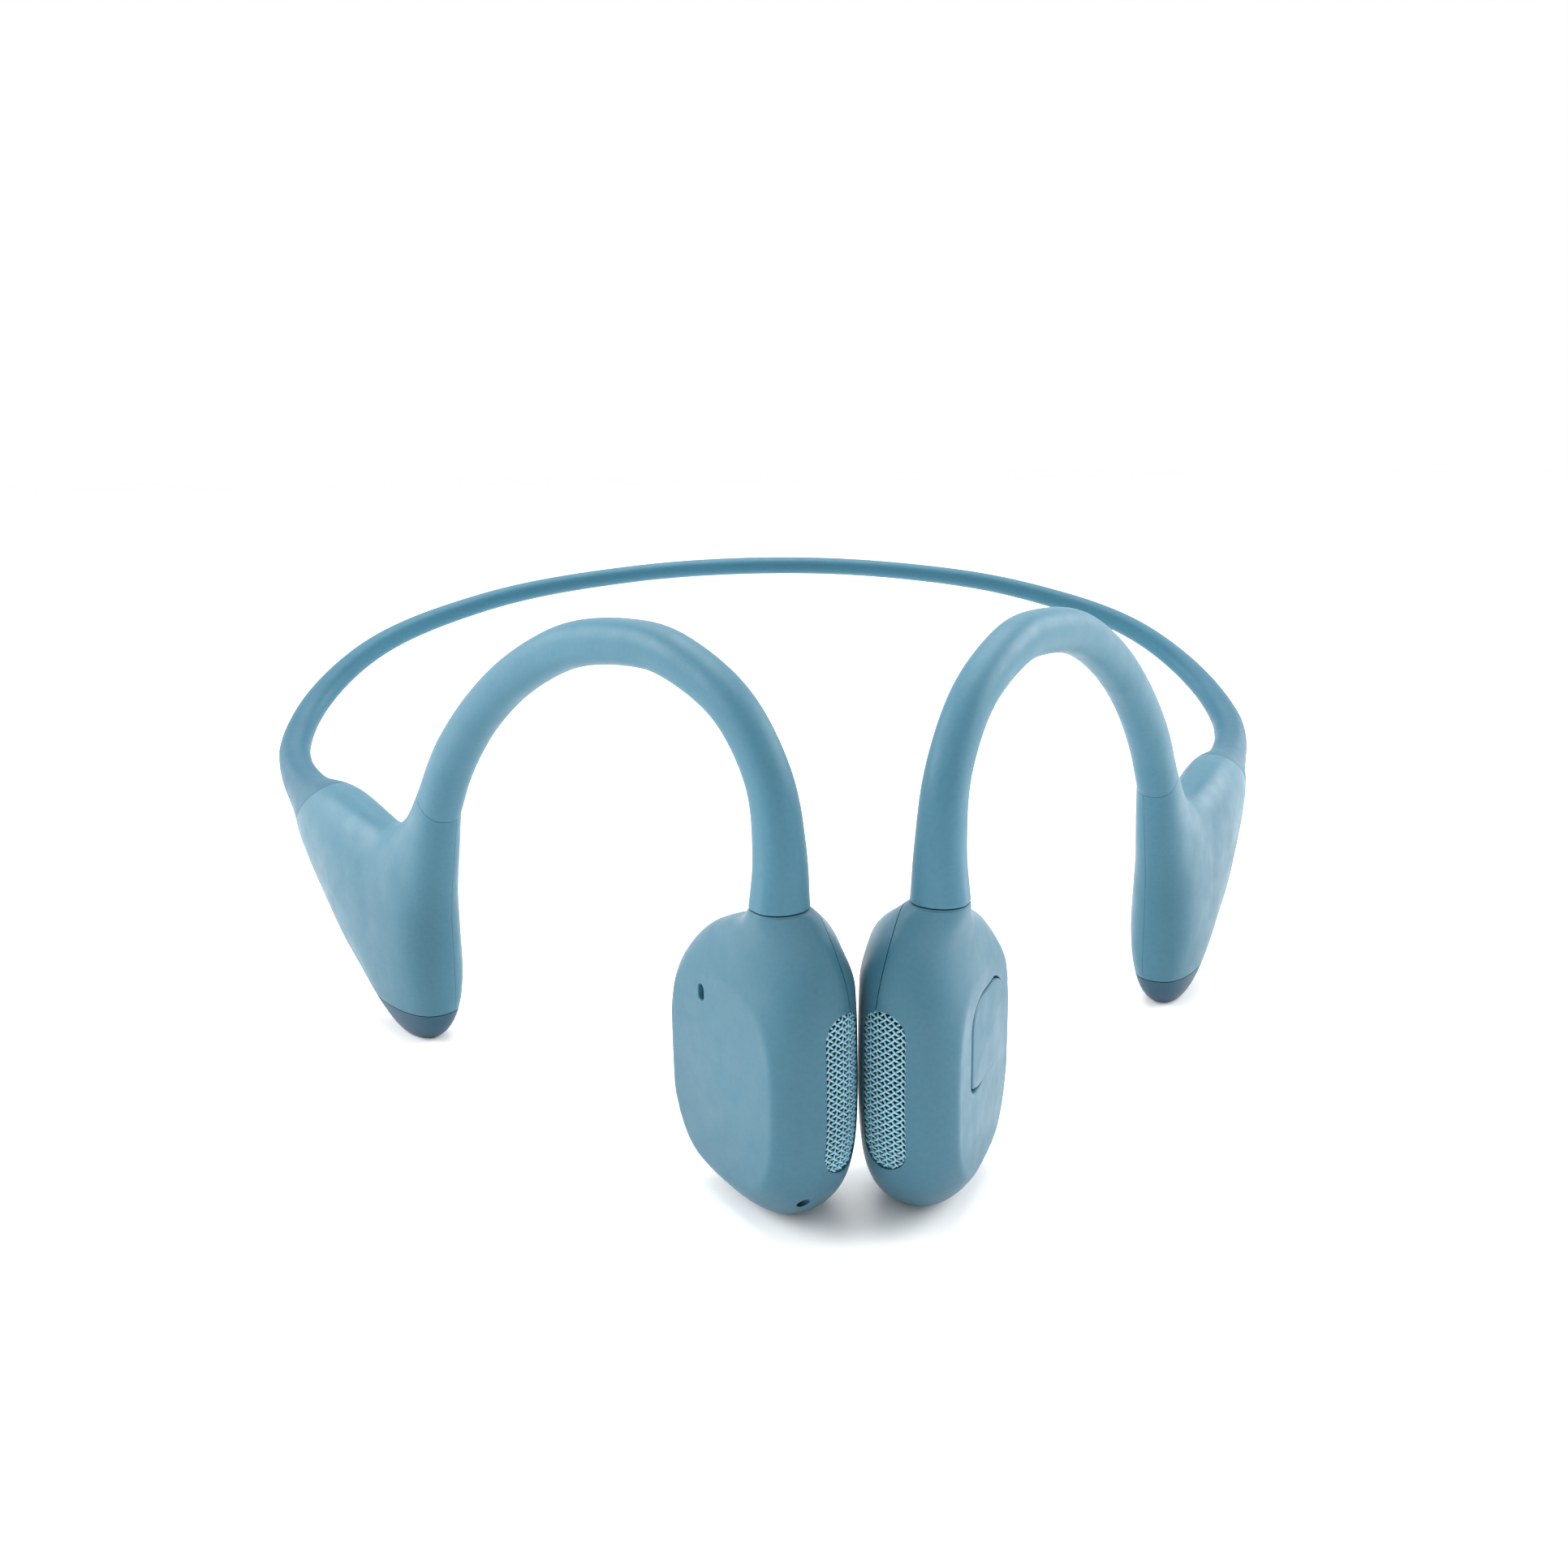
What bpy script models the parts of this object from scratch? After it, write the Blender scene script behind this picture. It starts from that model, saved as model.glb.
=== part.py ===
"""Bone conduction headphones: a sprung neckband, two ear hooks and two transducer housings.

Frame: +X is the wearer's left, +Y the back of the head, +Z up. The object stands on its two housings
and the feet of its two pods, with the origin under the middle of its outline.
"""

import math

import bmesh
import bpy
import numpy as np
from mathutils import Matrix

MM = 0.001
FIT = 0.3  # clearance between two pieces that touch, mm
WALL = 1.1  # moulded shell wall, mm
Y_ORIGIN = 8.575  # working y of the finished origin, mm

# Neckband: x, y, z of its centre line from the middle to the pod, then half height and half depth.
BAND = (
    (0.0, 62.3, 45.2, 1.20, 1.65),
    (20.3, 62.6, 44.1, 1.20, 1.65),
    (39.9, 61.1, 40.8, 1.30, 1.70),
    (55.5, 52.0, 34.8, 1.45, 1.75),
    (60.3, 45.9, 30.2, 1.50, 1.78),
    (61.9, 38.8, 26.3, 1.60, 1.80),
    (60.4, 31.0, 23.1, 2.10, 1.85),
    (57.3, 24.6, 21.2, 2.70, 1.90),
)
FLEX_X = 45.0  # where the band's elastic bending is gathered into one vertical hinge
FLEX_OPEN = math.radians(25)  # how far each arm springs open
FLEX_GAP = 0.12 + 2 * 1.75 * math.tan(FLEX_OPEN / 2)  # leaves room for that at the sleeve's inner edge

# Ear hook: distance along the hook's upright plane, height, half width in the plane, half thickness.
HOOK = (
    (0.0, 27.4, 2.35, 2.32),
    (-0.1, 31.6, 2.10, 1.95),
    (1.0, 37.1, 1.85, 1.75),
    (5.1, 42.3, 1.80, 1.75),
    (12.0, 45.4, 1.90, 1.85),
    (17.9, 45.9, 1.95, 1.90),
    (24.6, 45.2, 2.00, 1.90),
    (30.5, 43.3, 2.00, 1.90),
    (36.5, 40.3, 2.05, 1.90),
    (42.2, 36.2, 2.15, 1.95),
    (47.0, 31.4, 2.40, 2.05),
    (50.1, 27.0, 2.70, 2.15),
)
HOOK_START = (6.2, -43.7)
HOOK_TURN = math.radians(51.4)  # of the hook's plane from +X

# The wire and the cable lie side by side in one channel.
CHANNEL = (0.62, 1.20)
WIRE_RADIUS = 0.40
CABLE_RADIUS = 0.36
CORE_OFFSET = 0.50
CORE_TAIL = 2.4  # how far the wire and the cable run on into a pod or a housing

# Transducer housing: its upright axis, and its turn from the fore-and-aft plane.
HOUSING_CENTRE = (6.48, -37.8)
HOUSING_TURN = math.radians(27.5)
# z, rear and front along the housing, inner and outer across it
HOUSING = (
    (0.00, -3.2, 3.2, -1.6, 1.5),
    (0.55, -4.7, 4.7, -2.7, 2.7),
    (1.80, -6.3, 6.3, -3.9, 4.1),
    (4.00, -8.0, 8.0, -4.6, 5.4),
    (7.00, -9.3, 9.1, -4.9, 6.1),
    (10.5, -9.6, 9.5, -5.0, 6.2),
    (15.0, -9.6, 9.5, -5.0, 6.1),
    (18.5, -9.3, 9.4, -4.95, 5.3),
    (21.0, -8.2, 9.1, -4.75, 4.5),
    (23.0, -5.9, 8.6, -4.1, 4.2),
    (24.4, -2.6, 8.2, -3.1, 4.3),
    (25.6, 0.7, 7.9, -1.7, 4.5),
    (27.1, 3.0, 7.6, 0.1, 4.8),
)
# Roundness of the inner side, of the outer side at its front and at its rear, and of the neck
HOUSING_POWER = (2.15, 2.6, 4.0, 2.1)
NECK_BLEND = (18.0, 26.0)  # heights between which the body's roundness turns into the neck's
FACET = 4.74  # outer flat
CONTACT_FACE = -4.6  # inner flat
COVER_SEAM = (-4.4, 0.15)  # the seam's place across the housing at z = 0, and its slope
NECK = (5.6, 2.2)
NECK_BORE = 1.35

BUTTON = (-1.6, 14.1, 5.0, 3.75)  # centre along and up, half length, half height
BUTTON_DEPTH = 1.3
BUTTON_TRAVEL = 0.4
SWITCH_PLAY = 0.1  # between a pressed button or key and its switch
GRILLE = (-0.9, 12.3, 1.9, 6.7)  # centre across and up, half width, half height
GRILLE_DEPTH = 0.8
GRILLE_ROWS = 15
GRILLE_COLUMNS = (-1.0, -0.65, -0.15, 0.15, 0.65, 1.0)
PAD = (-1.2, 10.8, 4.0, 5.6)
TRANSDUCER = (-0.9, 10.6)  # its axis in the housing: along, up
YOKE = (3.5, 4.3, 1.5, -2.2)  # inner and outer radius, outer and inner level
MAGNET = (2.2, 0.5, -1.9)  # radius and levels
COIL = (2.6, 3.15, 0.2, -3.0)  # radii and levels
AIR_DRIVER = ((-0.8, 12.3), (1.5, 4.4))
FACET_MICROPHONE = (-3.3, 18.0)
LOWER_MICROPHONE = (1.7, 2.9)

# Pod: the point and direction of its upright plane
POD_START = (38.5, -2.0)
POD_TURN = math.radians(57.1)
# One row for each section: upper end along and up, lower end along and up, inner and outer across
POD = (
    (-0.5, 28.3, -4.7, 25.2, -1.65, 2.55),
    (1.8, 25.7, -3.3, 20.6, -2.0, 3.0),
    (4.3, 24.0, -1.8, 14.6, -2.3, 3.5),
    (6.6, 23.0, -1.6, 8.8, -2.6, 4.1),
    (8.4, 22.6, -1.2, 3.6, -2.9, 4.5),
    (9.7, 22.6, 1.0, 0.5, -3.1, 4.8),
    (10.8, 22.7, 4.6, -0.7, -3.1, 5.0),
    (12.2, 22.9, 8.6, 0.5, -3.1, 5.2),
    (14.2, 23.3, 12.6, 2.9, -3.0, 5.3),
    (17.2, 23.8, 17.2, 5.7, -3.0, 5.4),
    (21.0, 24.3, 22.0, 9.1, -2.9, 5.2),
    (25.0, 24.5, 26.5, 12.4, -2.6, 4.7),
    (29.0, 24.3, 30.2, 15.4, -1.9, 3.8),
    (31.9, 23.6, 32.8, 18.0, -1.1, 2.8),
)
POD_POWER = 2.3
POD_SEAM = -0.5
FOOT_TOP = 3.5
KEY_DIRECTION = math.radians(34.4)  # slope of the pod's underside
KEYS = {"volume_down": (14.7, 4.35), "volume_up": (18.3, 6.85)}
KEY_SIZE = (1.55, 0.95)
KEY_DEPTH = 1.35
KEY_TRAVEL = 0.4
POD_MIDDLE = 1.3  # across the pod, where the keys and the socket sit
SOCKET = (24.2, 11.0)
SOCKET_SIZE = (4.47, 1.63, 7.0)  # half width, half height, depth

COLOURS = {
    "shell": ((0.115, 0.285, 0.372), 0.5, 0.0),
    "silicone": ((0.095, 0.255, 0.345), 0.6, 0.0),
    "band": ((0.045, 0.195, 0.290), 0.6, 0.0),
    "foot": ((0.030, 0.095, 0.145), 0.7, 0.0),
    "grille": ((0.050, 0.130, 0.170), 0.4, 0.8),
    "steel": ((0.55, 0.56, 0.58), 0.35, 1.0),
    "spring_wire": ((0.45, 0.46, 0.48), 0.3, 1.0),
    "magnet": ((0.62, 0.62, 0.60), 0.25, 1.0),
    "copper": ((0.72, 0.34, 0.16), 0.35, 1.0),
    "cable": ((0.02, 0.02, 0.022), 0.6, 0.0),
    "board": ((0.01, 0.11, 0.06), 0.5, 0.0),
    "cell": ((0.45, 0.47, 0.50), 0.45, 0.6),
    "dark_plastic": ((0.02, 0.02, 0.022), 0.5, 0.0),
}
SIDES = {"left": 1, "right": -1}


def clear_scene():
    for item in list(bpy.data.objects):
        bpy.data.objects.remove(item, do_unlink=True)


def material(name):
    found = bpy.data.materials.get(name)
    if found:
        return found
    colour, roughness, metallic = COLOURS[name]
    made = bpy.data.materials.new(name)
    made.use_nodes = True
    shader = made.node_tree.nodes["Principled BSDF"]
    shader.inputs["Base Color"].default_value = (*colour, 1)
    shader.inputs["Roughness"].default_value = roughness
    shader.inputs["Metallic"].default_value = metallic
    return made


def finished(name, mesh, finish):
    """The object of a finished bmesh, with its faces turned out and its round sides shaded smooth."""
    bmesh.ops.recalc_face_normals(mesh, faces=mesh.faces[:])
    data = bpy.data.meshes.new(name)
    mesh.to_mesh(data)
    mesh.free()
    data.materials.append(material(finish))
    data.shade_smooth()
    data.set_sharp_from_angle(angle=math.radians(35))
    made = bpy.data.objects.new(name, data)
    bpy.context.scene.collection.objects.link(made)
    return made


def body(name, rings, finish, side=1, closed=False):
    """A solid skinned through rings of points in working mm, capped at both ends or joined end to end."""
    mesh = bmesh.new()
    loops = []
    for ring in rings:
        loops.append([mesh.verts.new((side * x * MM, (y - Y_ORIGIN) * MM, z * MM)) for x, y, z in ring])
    count = len(loops[0])
    pairs = list(zip(loops, loops[1:]))
    if closed:
        pairs.append((loops[-1], loops[0]))
    else:
        mesh.faces.new(loops[0])
        mesh.faces.new(loops[-1])
    for first, second in pairs:
        for i in range(count):
            j = (i + 1) % count
            mesh.faces.new((first[i], first[j], second[j], second[i]))
    return finished(name, mesh, finish)


def cut(target, *cutters):
    """Takes the cutters away from the target, and hides them."""
    for cutter in cutters:
        modifier = target.modifiers.new(cutter.name, "BOOLEAN")
        modifier.operation = "DIFFERENCE"
        modifier.object = cutter
        cutter.hide_render = True
        cutter.display_type = "WIRE"


# Places

def in_housing(along, across, up):
    """Working x, y, z of a point in a housing: along towards the face, across towards the outer side."""
    c, s = math.cos(HOUSING_TURN), math.sin(HOUSING_TURN)
    x = HOUSING_CENTRE[0] - s * along + c * across
    y = HOUSING_CENTRE[1] - c * along - s * across
    return x, y, up


def in_pod(along, across, up):
    """Working x, y, z of a point in a pod: along towards the back, across towards the outer side."""
    c, s = math.cos(POD_TURN), math.sin(POD_TURN)
    return POD_START[0] + c * along + s * across, POD_START[1] + s * along - c * across, up


def under_pod(shift, across, depth, centre):
    """A point of something set in the pod's sloping underside, depth counted into the pod."""
    c, s = math.cos(KEY_DIRECTION), math.sin(KEY_DIRECTION)
    return in_pod(centre[0] + c * shift - s * depth, across, centre[1] + s * shift + c * depth)


# Outlines

def oval(centre, half, power=2.0, count=20):
    """Points of a superellipse; a high power makes a rounded rectangle."""
    points = []
    for i in range(count):
        angle = 2 * math.pi * (i + 0.5) / count
        c, s = math.cos(angle), math.sin(angle)
        a = math.copysign(abs(c) ** (2 / power), c) * half[0]
        b = math.copysign(abs(s) ** (2 / power), s) * half[1]
        points.append((centre[0] + a, centre[1] + b))
    return points


def slot(centre, half, count=20):
    """A round-ended outline, longer along whichever half size is larger."""
    radius = min(half)
    points = []
    for i in range(count):
        angle = 2 * math.pi * (i + 0.5) / count
        c, s = math.cos(angle), math.sin(angle)
        a = radius * c + math.copysign(half[0] - radius, c)
        b = radius * s + math.copysign(half[1] - radius, s)
        points.append((centre[0] + a, centre[1] + b))
    return points


def grown(outline, by):
    """The outline moved outward by a distance, about its own centre."""
    points = np.array(outline)
    centre = points.mean(axis=0)
    half = (points.max(axis=0) - points.min(axis=0)) / 2
    return [tuple(p) for p in centre + (points - centre) * (half + by) / half]


def across_housing(outline, levels):
    """Rings of an outline drawn along and up in a housing, at levels across it."""
    return [[in_housing(a, level, b) for a, b in outline] for level in levels]


def along_housing(outline, levels):
    """Rings of an outline drawn across and up in a housing, at levels along it."""
    return [[in_housing(level, a, b) for a, b in outline] for level in levels]


def across_pod(outline, levels):
    return [[in_pod(a, level, b) for a, b in outline] for level in levels]


def below_pod(outline, levels, centre):
    """Rings of an outline drawn along the underside and across the pod, at depths into it."""
    return [[under_pod(a, b, level, centre) for a, b in outline] for level in levels]


# Smooth curves through stations

def smooth(stations, steps):
    """Rows on a Catmull-Rom curve through the stations."""
    rows = np.array(stations, float)
    rows = np.vstack([2 * rows[0] - rows[1], rows, 2 * rows[-1] - rows[-2]])
    points = []
    for a, b, c, d in zip(rows, rows[1:], rows[2:], rows[3:]):
        for f in np.arange(steps) / steps:
            bend = (2 * a - 5 * b + 4 * c - d) * f**2 + (3 * b - a - 3 * c + d) * f**3
            points.append(0.5 * (2 * b + (c - a) * f + bend))
    points.append(rows[-2])
    return np.array(points)


def arc_lengths(points):
    steps = np.linalg.norm(np.diff(points[:, :3], axis=0), axis=1)
    return np.concatenate([[0.0], np.cumsum(steps)])


def stretch(points, start, end, count):
    """Rows of the curve between two arc lengths, run on straight past its ends."""
    at = arc_lengths(points)
    wanted = np.linspace(start, end, count)
    rows = np.array([np.interp(wanted, at, column) for column in points.T]).T
    total = at[-1]
    for i, s in enumerate(wanted):
        if s < 0:
            rows[i, :3] = points[0, :3] + (points[1, :3] - points[0, :3]) / at[1] * s
        elif s > total:
            rows[i, :3] = points[-1, :3] + (points[-1, :3] - points[-2, :3]) / (total - at[-2]) * (s - total)
    return rows


def sweep_rings(rows, guide, half=None, offset=0.0, count=12, power=2.0):
    """Sections square to a path: the first half size lies along the guide, the second across it."""
    centres = rows[:, :3]
    tangents = np.gradient(centres, axis=0)
    rings = []
    for row, centre, tangent in zip(rows, centres, tangents):
        tangent = tangent / np.linalg.norm(tangent)
        first = guide - tangent * (guide @ tangent)
        first = first / np.linalg.norm(first)
        second = np.cross(tangent, first)
        size = half or (row[3], row[4])
        middle = centre + second * offset
        rings.append([middle + first * a + second * b for a, b in oval((0, 0), size, power, count)])
    return rings


def hollow_tube(name, rows, guide, finish, side=1):
    """A sleeve with the channel for the wire and the cable through it."""
    outer = sweep_rings(rows, guide, power=2.2)
    inner = sweep_rings(rows, guide, half=CHANNEL)
    return body(name, outer + inner[::-1], finish, side, closed=True)


def core(prefix, rows, guide, side=1):
    """The spring wire and the cable, side by side."""
    for name, radius, offset, finish in (
        ("wire", WIRE_RADIUS, -CORE_OFFSET, "spring_wire"),
        ("cable", CABLE_RADIUS, CORE_OFFSET, "cable"),
    ):
        rings = sweep_rings(rows, guide, half=(radius, radius), offset=offset, count=6)
        body(f"{prefix}_{name}", rings, finish, side)


# Neckband

UP = np.array([0.0, 0.0, 1.0])


def band_curve():
    return smooth(BAND, 10)


def flex_length(curve):
    return float(np.interp(FLEX_X, curve[:60, 0], arc_lengths(curve)[:60]))


def neckband():
    curve = band_curve()
    reach = flex_length(curve) - FLEX_GAP / 2
    half = stretch(curve, 0, reach, 9)
    mirrored = half[:0:-1] * np.array([-1, 1, 1, 1, 1])
    rows = np.vstack([mirrored, half])
    hollow_tube("neckband_sleeve", rows, UP, "band")
    core("neckband", rows, UP)


def band_arm(label, side):
    curve = band_curve()
    start = flex_length(curve) + FLEX_GAP / 2
    total = arc_lengths(curve)[-1]
    rows = stretch(curve, start, total - FIT, 10)
    hollow_tube(f"{label}_band_sleeve", rows, UP, "band", side)
    tail = stretch(curve, total + CORE_TAIL / 2, total + CORE_TAIL / 2, 1)
    core(f"{label}_band", np.vstack([rows, tail]), UP, side)


# Ear hook

def hook_curve():
    c, s = math.cos(HOOK_TURN), math.sin(HOOK_TURN)
    rows = [(HOOK_START[0] + c * w, HOOK_START[1] + s * w, z, b, a) for w, z, a, b in HOOK]
    return smooth(rows, 8)


def ear_hook(label, side):
    sideways = np.array([math.sin(HOOK_TURN), -math.cos(HOOK_TURN), 0.0])
    curve = hook_curve()
    total = arc_lengths(curve)[-1]
    rows = stretch(curve, 0, total - FIT, 20)
    hollow_tube(f"{label}_hook_sleeve", rows, sideways, "silicone", side)
    into_housing = stretch(curve, -CORE_TAIL, -CORE_TAIL, 1)
    into_pod = stretch(curve, total + CORE_TAIL, total + CORE_TAIL, 1)
    core(f"{label}_hook", np.vstack([into_housing, rows, into_pod]), sideways, side)


# Housing

def housing_power(z, front, outward):
    """How round the housing's section is in one of its quarters at a height."""
    body_power = HOUSING_POWER[0]
    if outward:
        body_power = HOUSING_POWER[1 if front else 2]
    start, end = NECK_BLEND
    neck = min(max((z - start) / (end - start), 0.0), 1.0)
    return body_power + (HOUSING_POWER[3] - body_power) * neck


def housing_rings(inset, stations, count=24):
    """Level sections of the housing, drawn in by an inset."""
    shoulder = 19.0
    rings = []
    for z, rear, front, inner, outer in stations:
        middle, half = (rear + front) / 2, (front - rear) / 2 - inset
        base = (inner + outer) / 2 if z > shoulder else 0.0
        ring = []
        for i in range(count):
            angle = 2 * math.pi * (i + 0.5) / count
            c, s = math.cos(angle), math.sin(angle)
            power = housing_power(z, c > 0, s > 0)
            reach = (outer - base if s > 0 else base - inner) - inset
            along = middle + half * math.copysign(abs(c) ** (2 / power), c)
            across = base + reach * math.copysign(abs(s) ** (2 / power), s)
            across = min(max(across, CONTACT_FACE + inset), FACET - inset)
            ring.append(in_housing(along, across, z))
        rings.append(ring)
    return rings


def housing_cavity(name, side):
    """The hollow of the housing, with the bore of its neck."""
    inside = [row for row in HOUSING if WALL < row[0] < HOUSING[-1][0] - 5]
    inside[0] = (WALL + 0.1, *inside[0][1:])
    rings = housing_rings(WALL, inside)
    neck = oval(NECK, (NECK_BORE, NECK_BORE), count=24)
    for level in (24.6, 28.5):
        rings.append([in_housing(a, b, level) for a, b in neck])
    return body(name, rings, "shell", side)


def seam_slab(name, side, low, high):
    """The part of the housing's space between two distances from the cover's seam."""
    start, slope = COVER_SEAM
    rings = []
    for z in (-2.0, 32.0):
        seam = start + slope * z
        corners = ((-14, seam + low), (14, seam + low), (14, seam + high), (-14, seam + high))
        rings.append([in_housing(a, b, z) for a, b in corners])
    return body(name, rings, "shell", side)


def housing_shells(label, side):
    shell = body(f"{label}_housing_shell", housing_rings(0, HOUSING), "shell", side)
    cover = body(f"{label}_housing_cover", housing_rings(0, HOUSING), "shell", side)
    hollow = housing_cavity(f"{label}_housing_hollow", side)
    window = slot(GRILLE[:2], GRILLE[2:])
    opening = body(f"{label}_grille_cut", along_housing(grown(window, FIT), (4, 13)), "shell", side)
    recess_outline = oval(PAD[:2], (PAD[2] + FIT, PAD[3] + FIT), 2.4)
    recess_levels = (CONTACT_FACE + 0.45, CONTACT_FACE - 2)
    recess = body(f"{label}_pad_cut", across_housing(recess_outline, recess_levels), "shell", side)
    cut(shell, hollow, seam_slab(f"{label}_inner_side", side, -20, FIT / 2), opening)
    cut(cover, hollow, seam_slab(f"{label}_outer_side", side, -FIT / 2, 20), opening, recess)
    return shell


def contact_pad(label, side):
    rings = []
    for shrink, level in ((0.0, -4.45), (0.0, -4.95), (0.35, -5.15)):
        outline = oval(PAD[:2], (PAD[2] - shrink, PAD[3] - shrink), 2.4)
        rings += across_housing(outline, (level,))
    body(f"{label}_contact_pad", rings, "silicone", side)


def housing_front(across, up, inset):
    """The point of the housing's front surface at a place across and up it, drawn in by an inset."""
    levels = [row[0] for row in HOUSING]
    rear, front, inner, outer = (np.interp(up, levels, [row[i] for row in HOUSING]) for i in (1, 2, 3, 4))
    power = HOUSING_POWER[1 if across > 0 else 0]
    reach = (outer if across > 0 else -inner) - inset
    half = (front - rear) / 2 - inset
    rise = max(1 - (abs(across) / reach) ** power, 0.0) ** (1 / power)
    return in_housing((rear + front) / 2 + half * rise, across, up)


def speaker_grille(label, side):
    """A curved round-ended strip of the housing's surface, with two columns of holes."""
    middle, centre, half, height = GRILLE
    steps = np.linspace(-1, 1, GRILLE_ROWS + 1)
    straight = height - half
    layers = []
    for inset in (0.0, GRILLE_DEPTH):
        layer = []
        for step in steps:
            up = step * (height - 0.1)
            width = half * math.sqrt(max(1 - (max(abs(up) - straight, 0) / half) ** 2, 0.0))
            layer.append([housing_front(middle + width * c, centre + up, inset) for c in GRILLE_COLUMNS])
        layers.append(layer)
    rows, columns = len(steps) - 1, len(GRILLE_COLUMNS) - 1
    solid = {(i, j) for i in range(rows) for j in range(columns) if not (i % 2 and j % 2)}
    perforated(f"{label}_speaker_grille", layers, solid, "grille", side)


def perforated(name, layers, solid, finish, side):
    """A plate between two grids of points, made of the cells that are solid."""
    mesh = bmesh.new()
    grids = [
        [[mesh.verts.new((side * x * MM, (y - Y_ORIGIN) * MM, z * MM)) for x, y, z in row] for row in layer]
        for layer in layers
    ]
    for i, j in sorted(solid):
        for grid in grids:
            mesh.faces.new((grid[i][j], grid[i][j + 1], grid[i + 1][j + 1], grid[i + 1][j]))
        edges = (
            ((i - 1, j), (i, j), (i, j + 1)),
            ((i + 1, j), (i + 1, j), (i + 1, j + 1)),
            ((i, j - 1), (i, j), (i + 1, j)),
            ((i, j + 1), (i, j + 1), (i + 1, j + 1)),
        )
        for neighbour, (r1, c1), (r2, c2) in edges:
            if neighbour not in solid:
                top, back = grids
                mesh.faces.new((top[r1][c1], top[r2][c2], back[r2][c2], back[r1][c1]))
    loose = [vert for vert in mesh.verts if not vert.link_faces]
    bmesh.ops.delete(mesh, geom=loose, context="VERTS")
    finished(name, mesh, finish)


def transducer(label, side):
    """Cup yoke, magnet, suspension and the moving plate with its coil, in order from the outer side."""
    def disc(radius, level):
        return across_housing(oval(TRANSDUCER, (radius, radius), count=20), (level,))[0]

    inner, outer, back, rim = YOKE
    cup = [disc(inner, back - 0.7), disc(inner, rim), disc(outer, rim), disc(outer, back)]
    body(f"{label}_transducer_yoke", cup, "steel", side)
    radius, high, low = MAGNET
    body(f"{label}_transducer_magnet", [disc(radius, high), disc(radius, low)], "magnet", side)
    near, far = rim - FIT, rim - 2 * FIT
    ring = [disc(inner, near), disc(inner, far), disc(outer, far), disc(outer, near)]
    body(f"{label}_suspension_spring", ring, "spring_wire", side, closed=True)
    bore, rim_radius, end, face = COIL
    coil = [disc(bore, face + 2 * FIT), disc(bore, end), disc(rim_radius, end), disc(rim_radius, face)]
    body(f"{label}_voice_coil", coil, "copper", side)


def air_driver(label, side):
    """The small loudspeaker behind the grille, and its diaphragm."""
    centre, half = AIR_DRIVER
    frame = along_housing(slot(centre, half), (4.6, 6.3))
    body(f"{label}_air_driver", frame, "dark_plastic", side)
    dome = along_housing(grown(slot(centre, half), -0.2), (6.6, 6.85))
    body(f"{label}_air_diaphragm", dome, "dark_plastic", side)


def function_button(shell, side):
    outline = oval(BUTTON[:2], BUTTON[2:], 2.5)
    hole = body("function_button_cut", across_housing(grown(outline, FIT), (2.0, 8.0)), "shell", side)
    cut(shell, hole)
    top = grown(outline, -0.25)
    foot = FACET - BUTTON_DEPTH
    rings = across_housing(outline, (foot, FACET - 0.2)) + across_housing(top, (FACET + 0.05,))
    body("function_button", rings, "silicone", side)
    switch_top = foot - BUTTON_TRAVEL - SWITCH_PLAY
    switch = across_housing(oval(BUTTON[:2], (1.7, 1.7), count=16), (switch_top - 0.5, switch_top))
    body("function_switch", switch, "steel", side)
    board_top = switch_top - 0.5 - FIT
    board = across_housing(oval((-1.4, 12.6), (5.6, 5.6), 5), (board_top - 0.4, board_top))
    body("function_board", board, "board", side)


def microphones(shell, side):
    """One microphone behind the slot high on the facet, one behind a hole near the bottom."""
    mouth = across_housing(slot(FACET_MICROPHONE, (0.45, 0.7), 16), (2.0, 8.0))
    cut(shell, body("facet_mouth", mouth, "shell", side))
    along, up = FACET_MICROPHONE
    capsule = across_housing(oval((along, up - 0.7), (1.3, 1.7), 6), (2.2, 3.2))
    body("facet_microphone", capsule, "steel", side)
    hole = along_housing(oval(LOWER_MICROPHONE, (0.5, 0.5), count=12), (3.5, 12))
    cut(shell, body("lower_mouth", hole, "shell", side))
    across, up = LOWER_MICROPHONE
    capsule = along_housing(oval((across - 0.5, up + 0.6), (1.4, 1.0), 6), (2.8, 3.8))
    body("lower_microphone", capsule, "steel", side)


# Pod

def pod_section(row, inset, count=20):
    """One section of the pod: an oval from its upper to its lower end, square to the plane between them."""
    upper, lower = np.array(row[0:2]), np.array(row[2:4])
    middle, reach = (upper + lower) / 2, (upper - lower) / 2
    length = np.linalg.norm(reach)
    across, half = (row[4] + row[5]) / 2, (row[5] - row[4]) / 2
    if inset:
        size = (max(length - inset, CHANNEL[1] + 0.25), max(half - inset, CHANNEL[1] + 0.3))
    else:
        size = (length, half)
    ring = []
    for a, b in oval((0, 0), size, POD_POWER, count):
        along, up = middle + reach / length * a
        ring.append(in_pod(along, across + b, up))
    return ring


def pod_hollow(name, side):
    """The pod's cavity, narrowed to a channel where it meets the hook and the band."""
    rows = np.array(POD)
    before = rows[0] + 0.3 * (rows[0] - rows[1])
    after = rows[-1] + 0.3 * (rows[-1] - rows[-2])
    narrow = 99.0  # an inset that leaves only the channel
    rings = [pod_section(before, narrow), pod_section(rows[1], narrow)]
    rings += [pod_section(row, WALL) for row in rows[2:-2]]
    rings += [pod_section(rows[-2], narrow), pod_section(after, narrow)]
    return body(name, rings, "shell", side)


def pod_slab(name, side, levels, low, high):
    """The pod's space between two levels across it and two heights."""
    corners = ((-20, low), (45, low), (45, high), (-20, high))
    return body(name, across_pod(corners, levels), "shell", side)


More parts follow.
